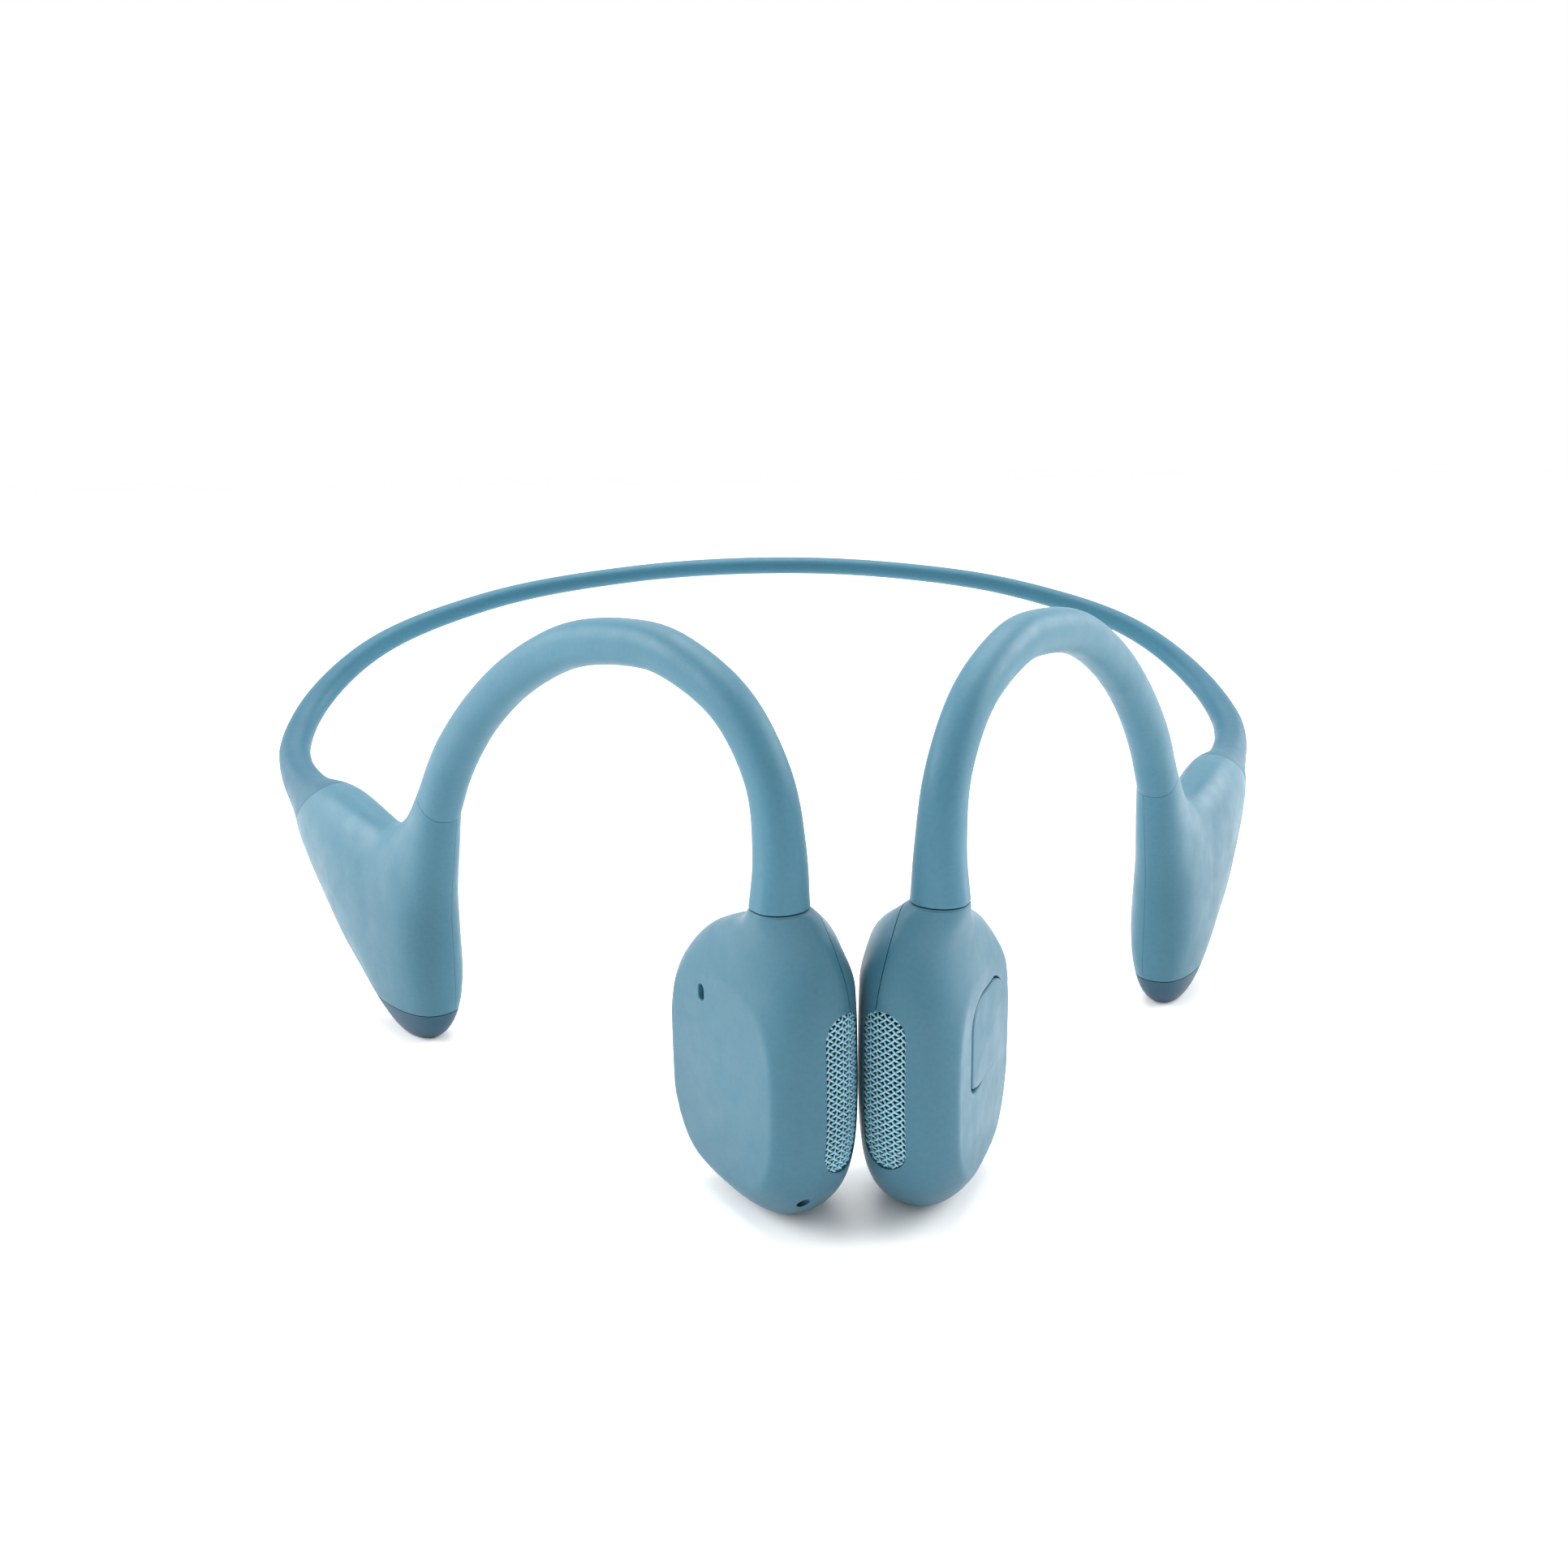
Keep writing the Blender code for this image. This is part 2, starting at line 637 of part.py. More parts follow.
def pod_shells(label, side):
    rings = [pod_section(row, 0) for row in POD]
    shell = body(f"{label}_pod_shell", rings, "shell", side)
    cover = body(f"{label}_pod_cover", rings, "shell", side)
    foot = body(f"{label}_pod_foot", rings, "foot", side)
    hollow = pod_hollow(f"{label}_pod_hollow", side)
    far, top, ground = 15, 60, -5
    inner_side = pod_slab(f"{label}_pod_inner", side, (-far, POD_SEAM + FIT / 2), ground, top)
    outer_side = pod_slab(f"{label}_pod_outer", side, (POD_SEAM - FIT / 2, far), ground, top)
    below = pod_slab(f"{label}_below", side, (-far, far), ground, FOOT_TOP + FIT / 2)
    above = pod_slab(f"{label}_above", side, (-far, far), FOOT_TOP - FIT / 2, top)
    under = pod_slab(f"{label}_under", side, (-far, far), ground, 0.0)
    cut(shell, hollow, inner_side, below)
    cut(cover, hollow, outer_side, below)
    cut(foot, above, under)
    return shell


def battery(side):
    body("battery", across_pod(oval((13.6, 14.4), (5.2, 4.0), 6), (-0.1, 3.0)), "cell", side)
    board = across_pod(oval((22.8, 17.4), (2.8, 2.6), 6), (0.8, 1.4))
    body("protection_board", board, "board", side)


def control_pod(shell, side):
    """The circuit board, the volume keys and the charging socket of the wearer's right pod."""
    body("main_board", across_pod(oval((11.4, 14.8), (4.2, 4.6), 6), (0.6, 1.2)), "board", side)
    body("radio_shield", across_pod(oval((11.4, 15.4), (2.8, 2.8), 7), (1.5, 2.6)), "steel", side)
    for name, centre in KEYS.items():
        volume_key(name, centre, shell, side)
    half_width, half_height, depth = SOCKET_SIZE
    wall, back = 0.35, 0.6
    mouth = slot((0, POD_MIDDLE), (half_width, half_height))
    hole = below_pod(grown(mouth, FIT), (-5, depth + 0.5), SOCKET)
    cut(shell, body("socket_cut", hole, "shell", side))
    rings = below_pod(grown(mouth, -wall), (depth - back, 0.2), SOCKET)
    rings += below_pod(mouth, (0.2, depth), SOCKET)
    body("charging_socket", rings, "steel", side)
    tongue = below_pod(oval((0, POD_MIDDLE), (3.3, 0.35), 8, 16), (1.2, depth - back - FIT), SOCKET)
    body("socket_tongue", tongue, "dark_plastic", side)


def volume_key(name, centre, shell, side):
    outline = slot((0, POD_MIDDLE), KEY_SIZE, 16)
    hole = below_pod(grown(outline, FIT), (-4, 3.0), centre)
    cut(shell, body(f"{name}_cut", hole, "shell", side))
    body(f"{name}_button", below_pod(outline, (-0.25, KEY_DEPTH), centre), "foot", side)
    top = KEY_DEPTH + KEY_TRAVEL + SWITCH_PLAY
    switch = below_pod(oval((0, POD_MIDDLE), (1.1, 0.8), 6, 16), (top, top + 0.6), centre)
    body(f"{name}_switch", switch, "steel", side)


# Bodies that move

def moving(name, point, nodes, holder=None):
    """An empty on a joint's axis which carries its nodes, on another such empty where it is held by one."""
    pivot = bpy.data.objects.new(name, None)
    bpy.context.scene.collection.objects.link(pivot)
    pivot.location = point
    if holder:
        pivot.parent = holder
        pivot.matrix_parent_inverse = Matrix.Translation(holder["place"]).inverted()
    pivot["place"] = point
    for node in nodes:
        made = bpy.data.objects[node]
        made.parent = pivot
        made.matrix_parent_inverse = Matrix.Translation(point).inverted()
    return pivot


def in_frame(point, side):
    x, y, z = point
    return side * x * MM, (y - Y_ORIGIN) * MM, z * MM


def arm(label, side):
    """Hangs everything of one side on its pivot, with the coil and the buttons on their own axes."""
    loose = {f"{label}_voice_coil": (f"{label}_armature", in_housing(TRANSDUCER[0], COIL[3], TRANSDUCER[1]))}
    if label == "left":
        loose["function_button"] = ("function_key", in_housing(BUTTON[0], FACET, BUTTON[1]))
        others = ("battery", "protection_board", "function_switch", "function_board")
    else:
        for name, centre in KEYS.items():
            loose[f"{name}_button"] = (f"{name}_key", under_pod(0, POD_MIDDLE, 0, centre))
        others = ("main_board", "radio_shield", "charging_socket", "socket_tongue", "volume_down_switch",
                  "volume_up_switch", "facet_microphone", "lower_microphone")
    nodes = [item.name for item in bpy.data.objects if item.name.startswith(label) and not item.hide_render]
    held = [name for name in (*nodes, *others) if name not in loose]
    curve = band_curve()
    flex = stretch(curve, flex_length(curve), flex_length(curve), 1)[0][:3]
    pivot = moving(f"{label}_arm", in_frame(flex, side), held)
    for node, (name, point) in loose.items():
        moving(name, in_frame(point, side), [node], pivot)


def main():
    clear_scene()
    neckband()
    for label, side in SIDES.items():
        band_arm(label, side)
        ear_hook(label, side)
        housing = housing_shells(label, side)
        contact_pad(label, side)
        speaker_grille(label, side)
        transducer(label, side)
        air_driver(label, side)
        pod = pod_shells(label, side)
        if label == "left":
            function_button(housing, side)
            battery(side)
        else:
            microphones(housing, side)
            control_pod(pod, side)
        arm(label, side)


main()
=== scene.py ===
"""Looks of the bone conduction headphones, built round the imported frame.

Working coordinates are millimetres with +X the wearer's left, +Y the back of the head and +Z up, mirrored
by a side of 1 or -1. placed() turns them into the frame's metres.
"""

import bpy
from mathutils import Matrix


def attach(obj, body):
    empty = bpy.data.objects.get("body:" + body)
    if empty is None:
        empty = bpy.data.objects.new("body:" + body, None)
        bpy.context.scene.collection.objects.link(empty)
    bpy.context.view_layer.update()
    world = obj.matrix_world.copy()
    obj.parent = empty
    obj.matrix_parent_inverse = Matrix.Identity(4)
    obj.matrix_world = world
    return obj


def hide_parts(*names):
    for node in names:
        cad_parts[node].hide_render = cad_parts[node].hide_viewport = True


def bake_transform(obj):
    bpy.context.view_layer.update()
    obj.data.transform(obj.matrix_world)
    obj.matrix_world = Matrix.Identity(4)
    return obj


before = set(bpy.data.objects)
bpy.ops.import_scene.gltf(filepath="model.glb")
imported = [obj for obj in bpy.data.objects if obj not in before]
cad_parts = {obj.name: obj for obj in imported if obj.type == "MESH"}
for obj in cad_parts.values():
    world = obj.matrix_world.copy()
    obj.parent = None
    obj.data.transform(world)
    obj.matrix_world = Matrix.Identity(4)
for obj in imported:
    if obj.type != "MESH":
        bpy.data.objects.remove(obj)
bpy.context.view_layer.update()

import math

import bmesh
import bpy
import numpy as np
from mathutils import Matrix, Vector

MM = 0.001
Y_ORIGIN = 8.575  # working Y of the frame's origin
WALL = 1.1
SHARP = 35  # degrees from which an edge is drawn sharp
SHARP_EDGED = 50  # the same for a small piece with a rounded edge
SHARP_WOVEN = 60  # and for the wire mesh and its cloth
ROUND_LIP = (0.0, 0.35, 0.7, 1.0)  # shares of a quarter turn at the steps round an edge
ROUND_END = (0.0, 0.5, 1.0)
OVERSAMPLE = 8  # points of an outline for each one that its ring keeps
HAIRLINE = 0.05  # gap where two pieces meet without a visible joint
SEAM = 0.07  # gap where the joint shows
SIDES = {"left": 1, "right": -1}

# Neckband: x, y, z of its centre line from the middle to the pod, then half height and half depth.
BAND = (
    (0.0, 62.3, 45.2, 1.20, 1.65),
    (20.3, 62.6, 44.1, 1.20, 1.65),
    (39.9, 61.1, 40.8, 1.30, 1.70),
    (55.5, 52.0, 34.8, 1.45, 1.75),
    (60.3, 45.9, 30.2, 1.50, 1.78),
    (61.9, 38.8, 26.3, 1.60, 1.80),
    (60.7, 30.9, 23.1, 2.20, 2.05),
    (57.7, 24.4, 21.2, 2.85, 2.35),
)
TUBE_POWER = 2.2  # roundness of the band's and the hooks' section
TUBE_SIDES = 64
BAND_RINGS = 150
BAND_EASING = 24
BAND_REACH = 11  # length over which the band takes the pod's section
BAND_OVER_POD = 22  # rings of the pod that the band's sleeve covers
JOIN_RINGS = (20, 5)  # rings of the band and of the pod that are eased into each other
JOIN_EASING = 25

# Ear hook: distance along its upright plane, height, half width in the plane, half thickness.
HOOK = (
    (0.0, 27.4, 2.35, 2.32),
    (-0.1, 31.6, 2.10, 1.95),
    (1.0, 37.1, 1.85, 1.75),
    (5.1, 42.3, 1.80, 1.75),
    (12.0, 45.4, 1.90, 1.85),
    (17.9, 45.9, 1.95, 1.90),
    (24.6, 45.2, 2.00, 1.90),
    (30.5, 43.3, 2.00, 1.90),
    (36.5, 40.3, 2.05, 1.90),
    (42.2, 36.2, 2.15, 1.95),
    (47.0, 31.4, 2.40, 2.05),
    (50.1, 27.0, 2.70, 2.15),
)
HOOK_START = (6.2, -43.7)
HOOK_TURN = math.radians(51.4)
HOOK_RINGS = 170
HOOK_REACH = (8, 7)  # lengths over which the hook takes the pod's section and the neck's
HOOK_EDGE = 0.16

# Housing: z, rear and front along it, inner and outer across it.
HOUSING_CENTRE = (6.48, -37.8)
HOUSING_TURN = math.radians(27.5)
HOUSING = (
    (0.00, -3.2, 3.2, -1.6, 1.5),
    (0.55, -4.7, 4.7, -2.7, 2.7),
    (1.80, -6.3, 6.3, -3.9, 4.1),
    (4.00, -8.0, 8.0, -4.6, 5.4),
    (7.00, -9.3, 9.1, -4.9, 6.1),
    (10.5, -9.6, 9.5, -5.0, 6.2),
    (15.0, -9.6, 9.5, -5.0, 6.1),
    (18.5, -9.3, 9.4, -4.95, 5.3),
    (21.0, -8.2, 9.1, -4.75, 4.5),
    (23.0, -5.9, 8.6, -4.1, 4.2),
    (24.4, -2.6, 8.2, -3.1, 4.3),
    (25.6, 0.7, 7.9, -1.7, 4.5),
    (27.1, 3.0, 7.6, 0.1, 4.8),
)
INNER_POWER = 2.15  # roundness of the inner side
OUTER_POWER = (2.6, 4.0)  # roundness of the outer side at the front and at the rear
OUTER_REAR = (-0.2, 0.5)  # share of the half length behind the middle over which it changes
NECK_POWER = 2.1
NECK_RISE = (18, 26)  # heights between which the housing turns into the neck
MIDDLE_RISE = (17, 22)  # heights between which the sections' middle moves across to the neck's
VALLEY = (20, 23.5, 24.8, 27)  # heights between which the inner side under the neck hollows and fills again
VALLEY_FRONT = (-0.1, 0.5)  # share of the half length before the middle over which it comes in
VALLEY_POWER = 0.4
FACET = 4.74  # the outer flat's distance across the housing
FACET_EDGE = 0.14  # how far the flats' edges are rounded over
CONTACT_FACE = -4.6
CONTACT_EDGE = 0.5
COVER_SEAM = (-4.4, 0.15)  # where the covers part across the housing at its base, and the slope of that line
HOUSING_ALONG = (-14, 14)  # past the housing behind and in front
HOUSING_ACROSS = (-20, 20)  # past it on both sides
HOUSING_HEIGHTS = (-2.0, 32.0)  # past it below and above
HOLLOW_HEIGHTS = (1.5, 22)
HOLLOW_SIDES = 64
NECK = (5.6, 2.2)  # the wires' way through the neck, along and across the housing
NECK_BORE = 1.35
NECK_EDGE = 0.12
NECK_BORE_HEIGHTS = (24.6, 28.5)

# Details of the housing: their middle along or across it and up it, then their half sizes.
BUTTON = (-1.6, 14.1, 5.0, 3.75)
BUTTON_CORNERS = (  # side along and up, then radius along and up: a long sweep at the front above
    (1, 1, 3.4, 2.0), (-1, 1, 3.4, 2.8), (-1, -1, 2.2, 1.6), (1, -1, 2.2, 1.2),
)
BUTTON_GAP = 0.26  # the groove's width at the front
BUTTON_REAR_GAP = 0.05  # the share of it that is left at the rear
BUTTON_FADE = (-0.8, 0.3, 0.5)  # where it starts to widen above and below, and over what length
BUTTON_SIDES = 160
BUTTON_LIP = 0.26
BUTTON_EDGE = 0.30
BUTTON_DEPTH = 1.3
BUTTON_RISE = 0.01
FACET_SLIT = (-3.3, 18.0, 0.45, 0.70)
SLIT_LIP = 0.1
FACET_CUT = 2.5  # how far cutters run below and above the facet
LOWER_HOLE = (1.7, 2.9, 0.50, 0.50)
LOWER_HOLE_ALONG = (3.5, 12)
GRILLE = (-0.9, 12.3, 1.9, 6.7)
GRILLE_GAP = 0.05
GRILLE_ALONG = (4, 13)
MESH_PITCH = (0.35, 0.27)  # across and up from one wire crossing to the next
MESH_WIRE = 0.085
MESH_SAMPLES = 400
MESH_SHORTEST = 20  # samples that a wire has at least inside the rim
MESH_STEP = 0.095
MESH_INSET = 0.28
MESH_MARGIN = 0.05
RIM_WIRE = 0.10
RIM_INSET = 0.42
RIM_MARGIN = 0.06
CLOTH = ((0.55, (1.5, 0.75, 0.1)), (0.75, (0.1, 0.75, 1.5)))  # inset, margins of its rings
PAD = (-1.2, 10.8, 4.0, 5.6)
PAD_POWER = 2.4
PAD_GAP = 0.12
PAD_RECESS = (CONTACT_FACE + 0.45, CONTACT_FACE - 2)
PAD_EDGE = ((0.0, -4.45), (0.0, -4.9), (0.05, -5.02), (0.18, -5.12), (0.4, -5.15))  # margin, distance across

POD_START = (38.5, -2.0)
POD_TURN = math.radians(57.1)
# Pod sections: upper end along and up, lower end along and up, inner and outer across.
POD = (
    (-0.5, 28.3, -4.7, 25.2, -1.65, 2.55),
    (1.8, 25.7, -3.3, 20.6, -2.0, 3.0),
    (4.3, 24.0, -1.8, 14.6, -2.3, 3.5),
    (6.6, 23.0, -1.6, 8.8, -2.6, 4.1),
    (8.4, 22.6, -1.2, 3.6, -2.9, 4.5),
    (9.7, 22.6, 1.0, 0.5, -3.1, 4.8),
    (10.8, 22.7, 4.6, -0.7, -3.1, 5.0),
    (12.2, 22.9, 8.6, 0.5, -3.1, 5.2),
    (14.2, 23.3, 12.6, 2.9, -3.0, 5.3),
    (17.2, 23.8, 17.2, 5.7, -3.0, 5.4),
    (21.0, 24.3, 22.0, 9.1, -2.9, 5.2),
    (25.0, 24.4, 26.5, 12.4, -2.6, 4.9),
    (29.0, 24.1, 30.2, 15.3, -1.9, 4.4),
    (31.9, 24.0, 32.8, 17.9, -1.1, 3.7),
)
POD_POWER = 2.3
BAND_EDGE = (23.2, 25.0, 32.6, 17.4)  # top and bottom of the slanting edge of the band's sleeve
POD_SEAM = -0.5  # where the covers part across the pod
POD_MIDDLE = 1.3
POD_ALONG = (-20, 45)  # past the pod in front and behind
POD_ACROSS = (-15, 15)  # past it on both sides
POD_HEIGHTS = (-5, 40)  # past it below and above
BAND_EDGE_ACROSS = (-9.0, 12.0)
BAND_EDGE_PAST = 8  # how far the cut along the band's edge runs past its top and bottom
BAND_EDGE_LENGTH = 20.0  # and along the pod or the band
FOOT_TOP = 3.5
KEY_DIRECTION = math.radians(34.4)
KEYS = {"volume_down": (14.7, 4.35), "volume_up": (18.3, 6.85)}
KEY_SIZE = (1.55, 0.95)
KEY_GAP = 0.15
KEY_EDGE = ((0.0, 1.35), (0.0, -0.05), (0.06, -0.17), (0.22, -0.25))  # margin, depth
KEY_MOUTH = (-4, 3)
SOCKET = (24.2, 11.0)
SOCKET_SIZE = (4.47, 1.63)
SOCKET_GAP = 0.12
SOCKET_EDGE = ((0.35, 6.4), (0.35, 0.3), (0.2, 0.2), (0.0, 0.3), (0.0, 7.0))
SOCKET_MOUTH = (-5, 7.5)
POD_HOLLOW_SIDES = 48
CHANNEL = (1.45, 1.50)  # half sizes of the wires' channel, which the pod's hollow narrows to
NARROW = 99.0  # an inset that leaves only the channel

UP = np.array([0.0, 0.0, 1.0])

SKY = 1.0
LIGHTS = (  # name, place in metres, diameter, power
    ("overhead", (0.0, 0.30, 0.9), 0.8, 6.5),
    ("left_box", (-0.75, 0.10, 0.40), 0.6, 7.0),
    ("right_box", (0.75, 0.15, 0.40), 0.6, 7.0),
)
FLOOR_HALF = 6  # metres
CAMERA_PLACE = (-0.0145, -0.152575, 0.0602)
CAMERA_ANGLES = (-5.0, 13.1, -0.8)  # yaw, pitch down and roll, in degrees
CAMERA_LENS = 31.90

SHELL_BLUE = (0.036, 0.124, 0.176)
SILICONE_BLUE = (0.042, 0.145, 0.206)
# The darker blue by the pods is partly the silicone's deeper tone and partly painted shade on the band's
# ends.
BAND_BLUES_WITH_PAINTED_SHADE = ((0.017, 0.098, 0.152), (0.026, 0.127, 0.188))  # by the pods, and at the back of the head
BLACK = (0.020, 0.021, 0.024)


# Materials

def shader_node(tree, kind, settings=None, **inputs):
    """A node with its settings and its input values; an underscore in an input's name stands for a space."""
    made = tree.nodes.new(kind)
    for key, value in (settings or {}).items():
        setattr(made, key, value)
    for key, value in inputs.items():
        made.inputs[key.replace("_", " ")].default_value = value
    return made


def noise(tree, place, scale, detail=2.0):
    made = shader_node(tree, "ShaderNodeTexNoise", Scale=scale, Detail=detail)
    tree.links.new(place, made.inputs["Vector"])
    return made.outputs["Fac"]


def mapped(tree, value, low, high, start=0.0, end=1.0):
    made = shader_node(tree, "ShaderNodeMapRange")
    for index, number in ((1, start), (2, end), (3, low), (4, high)):
        made.inputs[index].default_value = number
    tree.links.new(value, made.inputs["Value"])
    return made.outputs["Result"]


def product(tree, first, second):
    """A colour multiplied by a value."""
    made = shader_node(tree, "ShaderNodeVectorMath", {"operation": "SCALE"})
    tree.links.new(first, made.inputs[0])
    tree.links.new(second, made.inputs["Scale"])
    return made.outputs["Vector"]


def multiplied(tree, first, second):
    made = shader_node(tree, "ShaderNodeMath", {"operation": "MULTIPLY"})
    tree.links.new(first, made.inputs[0])
    tree.links.new(second, made.inputs[1])
    return made.outputs[0]


def blended(tree, factor, first, second):
    """The first colour turning into the second as a factor goes from 0 to 1."""
    made = shader_node(tree, "ShaderNodeMix", {"data_type": "RGBA"})
    tree.links.new(factor, made.inputs["Factor"])
    tree.links.new(first, made.inputs["A"])
    tree.links.new(second, made.inputs["B"])
    return made.outputs["Result"]


def bumped(tree, height, strength, distance, before=None):
    made = shader_node(tree, "ShaderNodeBump", Strength=strength, Distance=distance)
    tree.links.new(height, made.inputs["Height"])
    if before:
        tree.links.new(before, made.inputs["Normal"])
    return made.outputs["Normal"]


def new_material(name, metallic=0.0):
    made = bpy.data.materials.new(name)
    made.use_nodes = True
    tree = made.node_tree
    shader = tree.nodes["Principled BSDF"]
    shader.inputs["Metallic"].default_value = metallic
    place = shader_node(tree, "ShaderNodeTexCoord").outputs["Object"]
    return made, tree, shader, place


def constant(tree, colour):
    made = shader_node(tree, "ShaderNodeRGB")
    made.outputs[0].default_value = (*colour, 1)
    return made.outputs[0]


def soft_touch(name, colour, roughness, grain=0.10, sheen=0.0, specks=False, above=None):
    """Moulded rubber or painted plastic: a fine matt grain, slight clouding and a roughness that wanders.

    Above is a second colour for the top of the piece, with the heights in metres between which it comes in.
    """
    made, tree, shader, place = new_material(name)
    base = constant(tree, colour)
    if above:
        upper, start, end = above
        split = shader_node(tree, "ShaderNodeSeparateXYZ")
        tree.links.new(place, split.inputs["Vector"])
        height = mapped(tree, split.outputs["Z"], 0.0, 1.0, start, end)
        base = blended(tree, height, base, constant(tree, upper))
    cloud = mapped(tree, noise(tree, place, 55, 3), 0.93, 1.07, 0.25, 0.75)
    fleck = mapped(tree, noise(tree, place, 2600, 2), 0.965, 1.035, 0.3, 0.7)
    tint = product(tree, product(tree, base, cloud), fleck)
    if specks:
        cells = shader_node(tree, "ShaderNodeTexVoronoi", Scale=330.0)
        tree.links.new(place, cells.inputs["Vector"])
        near = mapped(tree, cells.outputs["Distance"], 1.0, 0.0, 0.03, 0.06)
        split = shader_node(tree, "ShaderNodeSeparateColor")
        tree.links.new(cells.outputs["Color"], split.inputs["Color"])
        rare = mapped(tree, split.outputs["Red"], 0.0, 0.8, 0.93, 0.94)
        tint = blended(tree, multiplied(tree, near, rare), tint, constant(tree, (0.62, 0.72, 0.76)))
    tree.links.new(tint, shader.inputs["Base Color"])
    wander = mapped(tree, noise(tree, place, 420, 3), roughness - 0.06, roughness + 0.06, 0.3, 0.7)
    tree.links.new(wander, shader.inputs["Roughness"])
    wide = bumped(tree, noise(tree, place, 900, 2), 0.05, 0.00008)
    fine = bumped(tree, noise(tree, place, 7500, 3), grain, 0.00003, wide)
    tree.links.new(fine, shader.inputs["Normal"])
    shader.inputs["Specular IOR Level"].default_value = 0.32
    shader.inputs["Sheen Weight"].default_value = sheen
    shader.inputs["Sheen Roughness"].default_value = 0.4
    return made


def metal(name, colour, roughness, scratches=180, metallic=1.0):
    """Drawn or plated metal with fine scratches along Z and slight tarnish."""
    made, tree, shader, place = new_material(name, metallic)
    drawn = shader_node(tree, "ShaderNodeMapping", Scale=(1.0, 1.0, 0.04))
    tree.links.new(place, drawn.inputs["Vector"])
    scratch = noise(tree, drawn.outputs["Vector"], scratches * 40, 4)
    tarnish = mapped(tree, noise(tree, place, 300, 4), 0.86, 1.06, 0.25, 0.75)
    tree.links.new(product(tree, constant(tree, colour), tarnish), shader.inputs["Base Color"])
    tree.links.new(mapped(tree, scratch, roughness - 0.08, roughness + 0.10), shader.inputs["Roughness"])
    tree.links.new(bumped(tree, scratch, 0.12, 0.00002), shader.inputs["Normal"])
    return made


def wound_copper(name):
    """Enamelled wire wound in fine turns."""
    made, tree, shader, place = new_material(name, 1.0)
    rings = {"wave_type": "RINGS", "rings_direction": "SPHERICAL"}
    turns = shader_node(tree, "ShaderNodeTexWave", rings, Scale=2400, Distortion=0.6)
    tree.links.new(place, turns.inputs["Vector"])
    shade = mapped(tree, turns.outputs["Fac"], 0.6, 1.1)
    tree.links.new(product(tree, constant(tree, (0.68, 0.29, 0.11)), shade), shader.inputs["Base Color"])
    tree.links.new(mapped(tree, noise(tree, place, 500), 0.25, 0.42), shader.inputs["Roughness"])
    tree.links.new(bumped(tree, turns.outputs["Fac"], 0.5, 0.00005), shader.inputs["Normal"])
    return made


def circuit_board(name):
    """Solder mask over copper tracks."""
    made, tree, shader, place = new_material(name)
    tracks = shader_node(
        tree, "ShaderNodeTexBrick", {"offset": 0.5},
        Color1=(0.004, 0.075, 0.040, 1), Color2=(0.006, 0.095, 0.050, 1), Mortar=(0.020, 0.190, 0.095, 1),
        Scale=1400, Mortar_Size=0.06,
    )
    tree.links.new(place, tracks.inputs["Vector"])
    tint = product(tree, tracks.outputs["Color"], mapped(tree, noise(tree, place, 200), 0.85, 1.15))
    tree.links.new(tint, shader.inputs["Base Color"])
    tree.links.new(mapped(tree, noise(tree, place, 900), 0.3, 0.45), shader.inputs["Roughness"])
    tree.links.new(bumped(tree, tracks.outputs["Fac"], 0.3, 0.00003), shader.inputs["Normal"])
    return made


def acoustic_cloth(name):
    """Dark open weave behind the wire mesh."""
    made, tree, shader, place = new_material(name)
    threads = []
    for direction in ("X", "Z"):
        settings = {"bands_direction": direction}
        wave = shader_node(tree, "ShaderNodeTexWave", settings, Scale=1900, Distortion=0.4)
        tree.links.new(place, wave.inputs["Vector"])
        threads.append(wave.outputs["Fac"])
    weave = multiplied(tree, *threads)
    shade = mapped(tree, weave, 0.6, 1.6)
    tree.links.new(product(tree, constant(tree, (0.010, 0.020, 0.027)), shade), shader.inputs["Base Color"])
    tree.links.new(mapped(tree, noise(tree, place, 700), 0.75, 0.95), shader.inputs["Roughness"])
    tree.links.new(bumped(tree, weave, 0.6, 0.00005), shader.inputs["Normal"])
    return made


def studio_white(name, near, far, roughness):
    """Paper that pales from one brightness to another between 0.3 and 1.2 m from the object; the darker
    floor near it is painted shade.
    """
    made, tree, shader, place = new_material(name)
    paper = mapped(tree, noise(tree, place, 6, 3), 0.992, 1.008, 0.3, 0.7)
    away = shader_node(tree, "ShaderNodeVectorMath", {"operation": "LENGTH"})
    tree.links.new(place, away.inputs[0])
    # Painted shade: the floor's colour is darker near the object and pales towards plain white further off.
    white = mapped(tree, away.outputs["Value"], near, far, 0.3, 1.2)
    tree.links.new(product(tree, white, paper), shader.inputs["Base Color"])
    wander = mapped(tree, noise(tree, place, 90), roughness - 0.05, roughness)
    tree.links.new(wander, shader.inputs["Roughness"])
    return made


